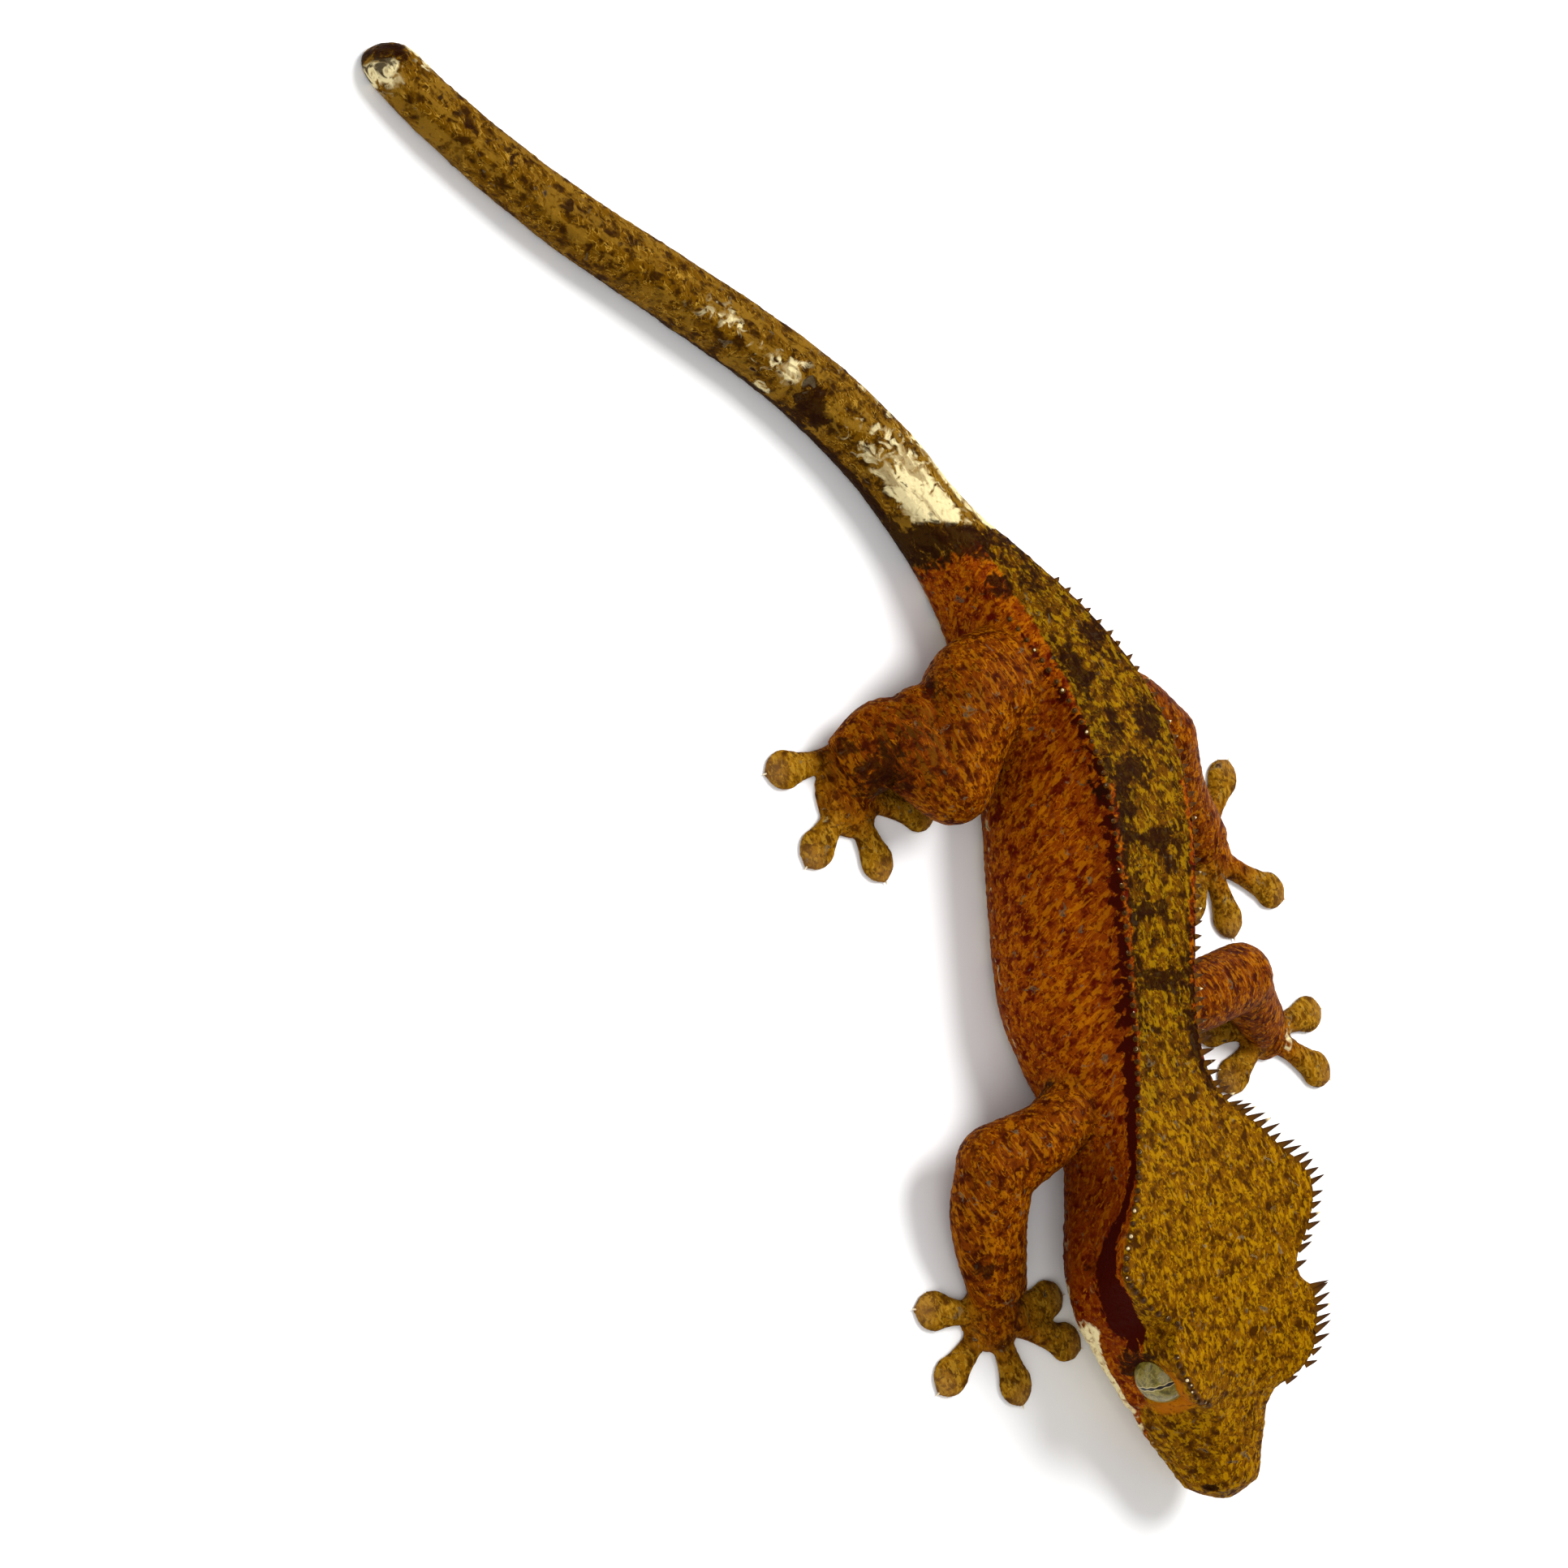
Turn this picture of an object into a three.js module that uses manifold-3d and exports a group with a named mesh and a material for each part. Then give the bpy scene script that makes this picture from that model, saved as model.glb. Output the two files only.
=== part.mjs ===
// A crested gecko at life size, resting on a flat floor with its tail swept to its right.
// Millimetres, +Z up, the snout towards -Y and the animal's left towards +X.
// The trunk, from snout to tail tip, is one loft of sections along a spine. It is made in lengths
// that stop a small gap short of each other, and the legs are lofts that are cut to the trunk's skin.
import * as THREE from "three";
import { mergeVertices } from "three/addons/utils/BufferGeometryUtils.js";
import Module from "manifold-3d";

const wasm = await Module();
wasm.setup();

// The gap that pieces keep where they meet
const GAP = 0.3;

// Stations of the trunk. at: the spine's place in plan. top: height of the back's midline.
// crest: half width and height of the crest line. side: half width and height of the widest point.
// belly: half width and height of the flat underside.
const TRUNK = [
  { name: "snout_tip", at: [1.8, -93.0], top: 11.0, crest: [2.4, 10.4], side: [3.5, 8.0], belly: [1.5, 5.4] },
  { name: "nostrils", at: [1.9, -90.4], top: 11.9, crest: [3.2, 11.3], side: [4.9, 8.1], belly: [2.7, 4.8] },
  { name: "snout", at: [1.7, -86.5], top: 13.3, crest: [3.9, 12.9], side: [6.6, 8.4], belly: [3.9, 4.3] },
  { name: "eye_front", at: [1.4, -81.6], top: 15.3, crest: [5.1, 15.5], side: [9.0, 8.7], belly: [5.2, 3.8] },
  { name: "brow_front", at: [1.5, -79.0], top: 16.7, crest: [9.3, 18.3], side: [10.3, 8.7], belly: [5.8, 3.6] },
  { name: "brow", at: [1.3, -75.4], top: 18.0, crest: [11.0, 19.2], side: [11.3, 8.7], belly: [6.4, 3.5] },
  { name: "brow_back", at: [1.0, -72.0], top: 18.8, crest: [11.7, 19.4], side: [12.6, 8.7], belly: [7.0, 3.5] },
  { name: "notch", at: [0.9, -69.2], top: 19.2, crest: [10.0, 19.2], side: [13.6, 8.8], belly: [7.6, 3.5] },
  { name: "temple", at: [0.6, -65.6], top: 19.7, crest: [13.5, 19.6], side: [14.1, 8.9], belly: [8.0, 3.5] },
  { name: "crest_corner", at: [0.2, -60.6], top: 20.3, crest: [15.7, 20.0], side: [13.4, 9.1], belly: [7.8, 3.5] },
  { name: "crest_back", at: [-0.4, -54.5], top: 20.4, crest: [11.8, 20.2], side: [10.6, 9.3], belly: [6.2, 3.8] },
  { name: "nape", at: [-1.0, -48.0], top: 19.8, crest: [7.5, 19.8], side: [8.2, 9.7], belly: [4.4, 3.8] },
  { name: "neck", at: [-0.4, -41.5], top: 19.0, crest: [5.3, 19.1], side: [9.6, 9.0], belly: [5.8, 1.8] },
  { name: "shoulders", at: [0.8, -33.5], top: 19.4, crest: [5.0, 19.5], side: [11.8, 8.2], belly: [7.0, 0.4] },
  { name: "chest", at: [2.6, -24.0], top: 20.4, crest: [5.6, 20.4], side: [11.9, 8.0], belly: [6.8, 0] },
  { name: "waist", at: [4.8, -13.5], top: 20.7, crest: [6.2, 20.5], side: [11.7, 8.0], belly: [6.6, 0] },
  { name: "loin", at: [5.9, -5.0], top: 19.7, crest: [6.2, 19.3], side: [10.9, 7.8], belly: [6.0, 0] },
  { name: "hips", at: [5.3, 3.0], top: 17.4, crest: [5.8, 16.8], side: [9.2, 7.4], belly: [4.8, 0] },
  { name: "rump", at: [3.2, 11.0], top: 14.6, crest: [4.9, 13.7], side: [7.3, 6.6], belly: [3.7, 0] },
  { name: "vent", at: [0.3, 18.2], top: 11.7, crest: [4.1, 10.6], side: [5.1, 5.6], belly: [2.4, 0] },
  { name: "tail_root", at: [-3.0, 25.0], top: 9.3, crest: [3.4, 8.1], side: [4.1, 4.7], belly: [1.8, 0] },
  { name: "tail_a", at: [-8.5, 34.6], top: 8.6, crest: [3.2, 7.5], side: [3.9, 4.3], belly: [1.7, 0] },
  { name: "tail_b", at: [-17.5, 45.2], top: 7.9, crest: [3.0, 6.9], side: [3.7, 3.9], belly: [1.6, 0] },
  { name: "tail_c", at: [-29.6, 55.6], top: 7.3, crest: [2.8, 6.4], side: [3.5, 3.6], belly: [1.5, 0] },
  { name: "tail_d", at: [-43.1, 66.5], top: 6.6, crest: [2.6, 5.7], side: [3.3, 3.2], belly: [1.4, 0] },
  { name: "tail_e", at: [-54.6, 78.0], top: 5.6, crest: [2.4, 4.8], side: [3.0, 2.7], belly: [1.4, 0] },
  { name: "tail_tip", at: [-61.8, 87.6], top: 4.4, crest: [2.3, 3.7], side: [3.0, 2.1], belly: [1.6, 0] },
];
const SNOUT_ROUND = 2.6; // the length over which the snout closes to a round tip
const TAIL_ROUND = 3.4; // and the same at the tail's tip

// Where the trunk is parted, as distances along the spine, and how closely each length is ringed
const NODES = [
  { name: "head", from: 0, to: "nape", step: 1.4 },
  { name: "neck", from: "nape", to: "shoulders", step: 1.7 },
  { name: "torso_front", from: "shoulders", to: "waist", step: 2.1 },
  { name: "torso_rear", from: "waist", to: "vent", step: 2.1 },
  { name: "tail_base", from: "vent", to: "tail_b", step: 3.0 },
  { name: "tail_middle", from: "tail_b", to: "tail_d", step: 3.4 },
  { name: "tail_end", from: "tail_d", to: "end", step: 2.6 },
];
const AROUND = { back: 4, flank: 5, turn: 4, belly: 1 }; // points on each stretch of half a section

// Eyes: where the centre lies along the spine and beside it, the way the eye looks, and the rim round it
const EYE = { spine: 18.2, lateral: 9.2, height: 13.2, radius: 3.3, up: 30, forward: 15, rim: 0.6, rimOpen: 66 };
const EAR = { spine: 33.5, height: 11.6, long: 1.7, tall: 1.1, deep: 1.3 };
const NOSTRIL = { spine: 2.2, height: 9.9, radius: 0.45, deep: 1.1 };
const MOUTH = { to: 25.5, half: 0.28, deep: 0.55, proud: 0.6 };

// Crest spines: a stretch of the spine, their spacing, their length at its two ends and their lean
const CREST_SPINES = [
  { name: "brow", from: 12.6, to: 21.2, gap: 1.25, length: [1.7, 2.2], base: 0.46, rise: 1.0 },
  { name: "head_crest", from: 24.4, to: 43.8, gap: 1.35, length: [1.6, 1.7], base: 0.46, rise: 1.0 },
  { name: "neck_crest", from: 44.9, to: 58.4, gap: 1.5, length: [1.5, 1.1], base: 0.42, rise: 1.0 },
  { name: "back_crest", from: 59.9, to: 108, gap: 1.9, length: [0.95, 0.55], base: 0.36, rise: 0.9 },
];
const SPINE_SIDES = 5;

// Legs: the joints in plan with heights, and half width and half height of the limb at each
const LIMBS = {
  foreleg_right: {
    path: [[-5.5, -42.0, 10], [-12.4, -45.6, 10], [-19.8, -47.8, 7.6], [-20.6, -53.6, 5.2], [-19.6, -63.2, 2.3]],
    half: [[3.9, 4.0], [3.9, 3.9], [4.9, 4.0], [5.0, 3.7], [3.9, 2.2]],
    parts: ["upper_arm_right", "forearm_right"],
    foot: "hand_right",
    palm: { at: [-19.9, -64.8], half: [4.5, 4.3] },
    toes: [[-30.5, -61.1], [-30.1, -71.1], [-18.5, -76.0], [-7.9, -72.2], [-8.6, -65.6]],
  },
  foreleg_left: {
    path: [[5.5, -36.0, 10], [13.5, -36.2, 10], [24.4, -35.8, 7.6], [27.8, -39.4, 5.0], [32.3, -43.4, 2.2]],
    half: [[4.0, 3.9], [4.2, 3.8], [4.2, 3.7], [3.6, 3.0], [3.2, 2.0]],
    parts: ["upper_arm_left", "forearm_left"],
    foot: "hand_left",
    palm: { at: [32.8, -43.8], half: [3.7, 3.6] },
    toes: [[31.8, -34.6], [43.6, -43.4], [42.1, -52.2], [23.8, -49.2], [21.8, -40.8]],
  },
  hindleg_right: {
    path: [[3.0, 5.0, 9.5], [-7.2, 4.4, 9.4], [-12.8, -4.4, 8.2], [-18.2, 1.6, 6.2], [-22.8, -0.4, 2.6]],
    half: [[5.4, 4.6], [6.8, 5.2], [5.0, 4.4], [5.3, 3.9], [4.3, 2.4]],
    parts: ["thigh_right", "shank_right"],
    foot: "foot_right",
    palm: { at: [-22.0, -3.0], half: [4.4, 5.0] },
    toes: [[-32.7, 1.6], [-30.2, -9.8], [-19.4, -13.8], [-10.0, -8.0], [-12.0, -1.4]],
    heel: 4.4,
  },
  hindleg_left: {
    path: [[7.0, 1.0, 9.5], [13.6, -0.6, 9.8], [19.8, -5.6, 8.8], [23.2, -12.0, 6.0], [29.8, -20.0, 2.4]],
    half: [[4.4, 4.2], [4.8, 4.6], [4.6, 4.5], [3.9, 3.4], [3.3, 2.2]],
    parts: ["thigh_left", "shank_left"],
    foot: "foot_left",
    palm: { at: [30.6, -20.9], half: [3.9, 4.2] },
    toes: [[38.4, -10.4], [42.0, -29.0], [32.0, -31.9], [24.4, -28.4], [20.8, -21.6]],
    heel: 2.0,
  },
};
const TOE = { neck: 1.45, pad: 2.4, height: 1.7, padHeight: 1.35, palmHeight: 2.9, rings: 9 };
const LIMB_SIDES = 12;
const LIMB_STEP = 1.9;

const SKIN = {
  olive: new THREE.MeshStandardMaterial({ color: 0x8a6a12, roughness: 0.72, metalness: 0 }),
  orange: new THREE.MeshStandardMaterial({ color: 0x9a5412, roughness: 0.74, metalness: 0 }),
  tail: new THREE.MeshStandardMaterial({ color: 0x8c6a2c, roughness: 0.7, metalness: 0 }),
  toes: new THREE.MeshStandardMaterial({ color: 0x8b6a24, roughness: 0.7, metalness: 0 }),
  eye: new THREE.MeshStandardMaterial({ color: 0x8f8a5c, roughness: 0.12, metalness: 0 }),
};

// Smooth interpolation of rows of numbers over rising distances, by a cubic through each row
function smooth(distances, rows, d) {
  const last = distances.length - 1;
  let i = 0;
  while (i < last - 1 && d > distances[i + 1]) i++;
  const span = distances[i + 1] - distances[i];
  const t = Math.min(1, Math.max(0, (d - distances[i]) / span));
  const slope = (k, c) => {
    const a = Math.max(0, k - 1);
    const b = Math.min(last, k + 1);
    return (rows[b][c] - rows[a][c]) / (distances[b] - distances[a]);
  };
  const t2 = t * t;
  const t3 = t2 * t;
  return rows[i].map(
    (value, c) =>
      (2 * t3 - 3 * t2 + 1) * value +
      (t3 - 2 * t2 + t) * span * slope(i, c) +
      (3 * t2 - 2 * t3) * rows[i + 1][c] +
      (t3 - t2) * span * slope(i + 1, c),
  );
}

// Running distance along a row of points
function runOf(points) {
  const run = [0];
  for (let i = 1; i < points.length; i++) {
    run.push(run[i - 1] + Math.hypot(...points[i].map((v, c) => v - points[i - 1][c])));
  }
  return run;
}

const spinePlan = TRUNK.map((s) => s.at);
const spineRun = runOf(spinePlan);
const spineEnd = spineRun.at(-1);
const trunkRows = TRUNK.map((s) => [s.top, ...s.crest, ...s.side, ...s.belly]);
const distanceOf = (place) => {
  if (place === "end") return spineEnd;
  return typeof place === "number" ? place : spineRun[TRUNK.findIndex((s) => s.name === place)];
};

// The spine's place and its left-hand direction in plan at distance d
function spineAt(d) {
  const here = smooth(spineRun, spinePlan, d);
  const before = smooth(spineRun, spinePlan, Math.max(0, d - 0.5));
  const after = smooth(spineRun, spinePlan, Math.min(spineEnd, d + 0.5));
  const along = [after[0] - before[0], after[1] - before[1]];
  const length = Math.hypot(...along);
  return { here, left: [along[1] / length, -along[0] / length] };
}

const bezier = (a, b, c, e, t) => {
  const s = 1 - t;
  return a.map((v, k) => s * s * s * v + 3 * s * s * t * b[k] + 3 * s * t * t * c[k] + t * t * t * e[k]);
};

// Half a section from the back's midline to the belly's, as [lateral, height] points
function halfSection(d) {
  const [top, crestX, crestZ, sideX, sideZ, bellyX, bellyZ] = smooth(spineRun, trunkRows, d);
  const drop = crestZ - sideZ;
  const points = [];
  const stretch = (count, a, b, c, e) => {
    for (let i = 0; i < count; i++) points.push(bezier(a, b, c, e, i / count));
  };
  const crest = [crestX, crestZ];
  const side = [sideX, sideZ];
  const belly = [bellyX, Math.max(0, bellyZ)];
  stretch(AROUND.back, [0, top], [crestX * 0.35, top], [crestX * 0.75, (top + crestZ) / 2], crest);
  const under = [crestX + (sideX - crestX) * 0.25, crestZ - drop * 0.35];
  stretch(AROUND.flank, crest, under, [sideX, sideZ + drop * 0.5], side);
  const low = sideZ - belly[1];
  stretch(AROUND.turn, side, [sideX, sideZ - low * 0.6], [bellyX + (sideX - bellyX) * 0.5, belly[1]], belly);
  for (let i = 0; i < AROUND.belly; i++) points.push([bellyX * (1 - i / AROUND.belly), belly[1]]);
  points.push([0, belly[1]]);
  return points;
}

// How far the section is drawn in at the two round ends
function endScale(d) {
  const dome = (x) => Math.sqrt(Math.max(0.0016, 1 - (1 - x) ** 2));
  if (d < SNOUT_ROUND) return dome(d / SNOUT_ROUND);
  if (d > spineEnd - TAIL_ROUND) return dome((spineEnd - d) / TAIL_ROUND);
  return 1;
}

// A section's ring in space, grown outwards by grow
function trunkRing(d, grow = 0) {
  const half = halfSection(d);
  const centre = (half[0][1] + half.at(-1)[1]) / 2;
  const scale = endScale(d);
  const ring = [...half, ...half.slice(1, -1).reverse().map(([x, z]) => [-x, z])].map(([x, z]) => {
    const length = Math.hypot(x, z - centre) || 1;
    const wider = scale + grow / length;
    // The tail's tip shrinks towards the floor, so that its underside stays flat
    const pivot = d > spineEnd - TAIL_ROUND ? half.at(-1)[1] : centre;
    return [x * wider, pivot + (z - pivot) * wider];
  });
  const { here, left } = spineAt(d);
  return ring.map(([x, z]) => [here[0] + left[0] * x, here[1] + left[1] * x, z]);
}

// A closed solid from rings of equal length, capped by a point in the middle of each end ring
function loft(rings) {
  const sides = rings[0].length;
  const positions = rings.flat(2);
  const mean = (ring) => [0, 1, 2].map((c) => ring.reduce((sum, p) => sum + p[c], 0) / ring.length);
  positions.push(...mean(rings[0]), ...mean(rings.at(-1)));
  const first = rings.length * sides;
  const faces = [];
  for (let r = 0; r < rings.length - 1; r++) {
    for (let i = 0; i < sides; i++) {
      const j = (i + 1) % sides;
      const [a, b] = [r * sides + i, r * sides + j];
      faces.push(a, b, a + sides, b, b + sides, a + sides);
    }
  }
  const end = (rings.length - 1) * sides;
  for (let i = 0; i < sides; i++) {
    const j = (i + 1) % sides;
    faces.push(first, j, i, first + 1, end + i, end + j);
  }
  return solid(positions, faces);
}

function solid(positions, faces) {
  const make = (triVerts) =>
    new wasm.Manifold(
      new wasm.Mesh({ numProp: 3, vertProperties: new Float32Array(positions), triVerts: new Uint32Array(triVerts) }),
    );
  const made = make(faces);
  if (made.volume() > 0) return made;
  const turned = [];
  for (let i = 0; i < faces.length; i += 3) turned.push(faces[i], faces[i + 2], faces[i + 1]);
  return make(turned);
}

// A three.js geometry as a solid
function solidOf(geometry) {
  const bare = geometry.clone();
  bare.deleteAttribute("normal");
  bare.deleteAttribute("uv");
  const merged = mergeVertices(bare, 1e-4);
  return solid([...merged.attributes.position.array], [...merged.index.array]);
}

const union = (solids) => solids.reduce((a, b) => a.add(b));

// The largest closed surface of a solid
function largest(made) {
  const pieces = made.decompose();
  return pieces.reduce((a, b) => (b.volume() > a.volume() ? b : a));
}

function trunkLength(from, to, step, grow = 0) {
  const count = Math.max(2, Math.round((to - from) / step));
  const rings = [];
  for (let i = 0; i <= count; i++) {
    // Rings crowd towards a round end
    let t = i / count;
    if (from === 0) t = t ** 1.35;
    if (to === spineEnd) t = 1 - (1 - t) ** 1.35;
    rings.push(trunkRing(from + (to - from) * t, grow));
  }
  return loft(rings);
}

// A tapering spine from a root point along a direction, sunk below the skin
function spike(root, direction, length, base, sunk = 0.55) {
  const cone = new THREE.ConeGeometry(base, length + sunk, SPINE_SIDES, 1);
  cone.translate(0, (length - sunk) / 2, 0);
  const turn = new THREE.Quaternion().setFromUnitVectors(new THREE.Vector3(0, 1, 0), direction);
  cone.applyQuaternion(turn).translate(root.x, root.y, root.z);
  return solidOf(cone);
}

// The crest point on one side of the trunk with the direction that spines take there
function crestAt(d, side, rise) {
  const ring = trunkRing(d);
  const index = side > 0 ? AROUND.back : ring.length - AROUND.back;
  const point = new THREE.Vector3(...ring[index]);
  const { left } = spineAt(d);
  const direction = new THREE.Vector3(left[0] * side, left[1] * side, rise);
  direction.add(new THREE.Vector3(-left[1], left[0], 0).multiplyScalar(0.25));
  return { point, direction: direction.normalize() };
}

function spinesBetween(from, to) {
  const made = [];
  for (const row of CREST_SPINES) {
    const count = Math.floor((row.to - row.from) / row.gap);
    for (let i = 0; i <= count; i++) {
      const share = i / count;
      const d = row.from + (row.to - row.from) * share;
      if (d < from + 0.9 || d > to - 0.9) continue;
      const vary = 1 + 0.16 * Math.sin(i * 2.4 + row.from);
      const length = THREE.MathUtils.lerp(...row.length, share) * vary;
      for (const side of [1, -1]) {
        const { point, direction } = crestAt(d, side, row.rise);
        made.push(spike(point, direction, length, row.base));
      }
    }
  }
  return made;
}

// The frame of an eye: its centre and the direction it looks in
function eyeFrame(side) {
  const { here, left } = spineAt(EYE.spine);
  const centre = new THREE.Vector3(
    here[0] + left[0] * EYE.lateral * side,
    here[1] + left[1] * EYE.lateral * side,
    EYE.height,
  );
  const up = THREE.MathUtils.degToRad(EYE.up);
  const forward = THREE.MathUtils.degToRad(EYE.forward);
  const look = new THREE.Vector3(left[0] * side, left[1] * side, 0)
    .multiplyScalar(Math.cos(forward))
    .add(new THREE.Vector3(left[1], -left[0], 0).multiplyScalar(Math.sin(forward)))
    .multiplyScalar(Math.cos(up));
  look.z = Math.sin(up);
  return { centre, look: look.normalize() };
}

function ball(centre, radius, across = 20, down = 14) {
  const sphere = new THREE.SphereGeometry(radius, across, down);
  return solidOf(sphere.translate(centre.x, centre.y, centre.z));
}

// The rim of skin that edges an eye, thicker at the brow
function eyeRim(side) {
  const { centre, look } = eyeFrame(side);
  const open = THREE.MathUtils.degToRad(EYE.rimOpen);
  const torus = new THREE.TorusGeometry(EYE.radius * Math.sin(open) + 0.1, EYE.rim, 7, 20);
  torus.translate(0, 0, EYE.radius * Math.cos(open));
  torus.applyQuaternion(new THREE.Quaternion().setFromUnitVectors(new THREE.Vector3(0, 0, 1), look));
  return solidOf(torus.translate(centre.x, centre.y, centre.z));
}

// A pit with an oval mouth, sunk across a surface at a point
function pit(point, normal, long, tall, deep) {
  const oval = new THREE.SphereGeometry(1, 12, 8).scale(long, tall, deep);
  oval.applyQuaternion(new THREE.Quaternion().setFromUnitVectors(new THREE.Vector3(0, 0, 1), normal));
  return solidOf(oval.translate(point.x, point.y, point.z));
}

// The point where the section at d meets a height, on one side
function flankPoint(d, height, side) {
  const ring = trunkRing(d);
  const count = ring.length;
  const half = ring.slice(0, count / 2 + 1);
  const other = [ring[0], ...ring.slice(count / 2).reverse()];
  const run = side > 0 ? half : other;
  for (let i = AROUND.back; i < run.length - 1; i++) {
    const [a, b] = [run[i], run[i + 1]];
    if (a[2] >= height && b[2] <= height) {
      const t = (a[2] - height) / (a[2] - b[2]);
      return new THREE.Vector3(...a).lerp(new THREE.Vector3(...b), t);
    }
  }
  return new THREE.Vector3(...run.at(-1));
}

// The line of the mouth: a wedge that runs round the snout from one corner to the other
function mouthCut() {
  const steps = 22;
  const places = [];
  const heightAt = (d) => smooth([0, 3, 12, 20, MOUTH.to], [[7.5], [7.1], [6.9], [7.3], [8.6]], d)[0];
  for (let i = steps; i >= 0; i--) places.push({ d: 0.35 + (MOUTH.to - 0.35) * (i / steps) ** 1.5, side: 1 });
  for (let i = 0; i <= steps; i++) places.push({ d: 0.35 + (MOUTH.to - 0.35) * (i / steps) ** 1.5, side: -1 });
  const line = places.map(({ d, side }) => flankPoint(d, heightAt(d), side));
  const rings = line.map((point, i) => {
    const before = line[Math.max(0, i - 1)];
    const after = line[Math.min(line.length - 1, i + 1)];
    const along = after.clone().sub(before).normalize();
    const outward = along.clone().cross(new THREE.Vector3(0, 0, 1)).normalize();
    if (outward.dot(point.clone().sub(new THREE.Vector3(0, -80, point.z))) < 0) outward.negate();
    const fade = Math.min(1, Math.min(i, line.length - 1 - i) / 4 + 0.15);
    const inner = point.clone().addScaledVector(outward, -MOUTH.deep * fade);
    const rim = point.clone().addScaledVector(outward, MOUTH.proud);
    const half = MOUTH.half * (MOUTH.deep + MOUTH.proud) / MOUTH.deep;
    return [
      [inner.x, inner.y, inner.z],
      [rim.x, rim.y, rim.z + half],
      [rim.x, rim.y, rim.z - half],
    ];
  });
  return loft(rings);
}

// A leg's tube through three of its joints
function limbTube(points, halves) {
  const run = runOf(points);
  const end = run.at(-1);
  const count = Math.max(3, Math.round(end / LIMB_STEP));
  const rings = [];
  for (let i = 0; i <= count; i++) {
    const d = (end * i) / count;
    const here = new THREE.Vector3(...smooth(run, points, d));
    const ahead = new THREE.Vector3(...smooth(run, points, Math.min(end, d + 0.4)));
    const behind = new THREE.Vector3(...smooth(run, points, Math.max(0, d - 0.4)));
    const along = ahead.sub(behind).normalize();
    const across = along.clone().cross(new THREE.Vector3(0, 0, 1)).normalize();
    const over = across.clone().cross(along).normalize();
    const [wide, tall] = smooth(run, halves, d);
    const ring = [];
    for (let k = 0; k < LIMB_SIDES; k++) {
      const angle = (k / LIMB_SIDES) * Math.PI * 2;
      const point = here
        .clone()
        .addScaledVector(across, Math.cos(angle) * wide)
        .addScaledVector(over, Math.sin(angle) * tall);
      ring.push([point.x, point.y, Math.max(0.3, point.z)]);
    }
    rings.push(ring);
  }
  return loft(rings);
}

// A leg in two lengths, parted across its middle joint by a plane that halves the bend
function limbLengths(limb) {
  const joint = new THREE.Vector3(...limb.path[2]);
  const [wide, tall] = limb.half[2];
  const knob = new THREE.SphereGeometry(1, LIMB_SIDES, 8).rotateX(Math.PI / 2).scale(wide, wide, tall);
  const whole = union([
    limbTube(limb.path.slice(0, 3), limb.half.slice(0, 3)),
    limbTube(limb.path.slice(2), limb.half.slice(2)),
    solidOf(knob.translate(joint.x, joint.y, joint.z)),
  ]);
  const upward = joint.clone().sub(new THREE.Vector3(...limb.path[1])).normalize();
  const onward = new THREE.Vector3(...limb.path[3]).sub(joint).normalize();
  const normal = upward.add(onward).normalize();
  const offset = normal.dot(joint);
  const upper = whole.trimByPlane(normal.clone().negate().toArray(), -(offset - GAP / 2));
  const lower = whole.trimByPlane(normal.toArray(), offset + GAP / 2);
  return [upper, lower];
}

// A toe: a narrow neck that swells into a flat pad and ends in a claw's point, flat on the floor
function toe(root, tip, grow = 0) {
  const start = new THREE.Vector2(...root);
  const end = new THREE.Vector2(...tip);
  const length = start.distanceTo(end);
  const along = end.clone().sub(start).normalize();
  const across = new THREE.Vector2(along.y, -along.x);
  const padStart = length - 5.6;
  const run = [0, padStart * 0.6, padStart + 0.8, length - 2.9, length - 1.0, length];
  const rows = [
    [TOE.neck * 1.5, TOE.height * 1.35],
    [TOE.neck, TOE.height],
    [TOE.neck * 1.2, TOE.height * 0.95],
    [TOE.pad, TOE.padHeight],
    [TOE.pad * 0.72, TOE.padHeight * 0.8],
    [0.22, 0.5],
  ];
  const outline = [[-1, 0.3], [-0.8, 0], [0.8, 0], [1, 0.3], [0.72, 0.84], [0, 1.02], [-0.72, 0.84]];
  const rings = [];
  for (let i = 0; i <= TOE.rings; i++) {
    const d = (length * i) / TOE.rings;
    const [half, height] = smooth(run, rows, d);
    const middle = start.clone().addScaledVector(along, d);
    rings.push(
      outline.map(([u, v]) => [
        middle.x + across.x * u * (half + grow),
        middle.y + across.y * u * (half + grow),
        v * (height + grow),
      ]),
    );
  }
  return loft(rings);
}

// The palm or sole: a low dome from the wrist to the roots of the toes
function palm(limb, grow = 0) {
  const dome = new THREE.SphereGeometry(1, 14, 8);
  dome.rotateX(Math.PI / 2);
  dome.scale(limb.palm.half[0] + grow, limb.palm.half[1] + grow, TOE.palmHeight + grow);
  const place = dome.attributes.position;
  for (let i = 0; i < place.count; i++) place.setZ(i, Math.max(0, place.getZ(i)));
  dome.translate(limb.palm.at[0], limb.palm.at[1], 0);
  return solidOf(dome);
}

// The first toe of a hind foot springs from nearer its heel than the others do
const toeRoot = (limb, i) => [limb.palm.at[0], limb.palm.at[1] + (i === 0 && limb.heel ? limb.heel : 0)];

const sole = (limb, grow = 0) =>
  union([palm(limb, grow), ...limb.toes.map((tip, i) => toe(toeRoot(limb, i), tip, grow))]);

const root = new THREE.Group();
root.name = "crested_gecko";

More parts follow.
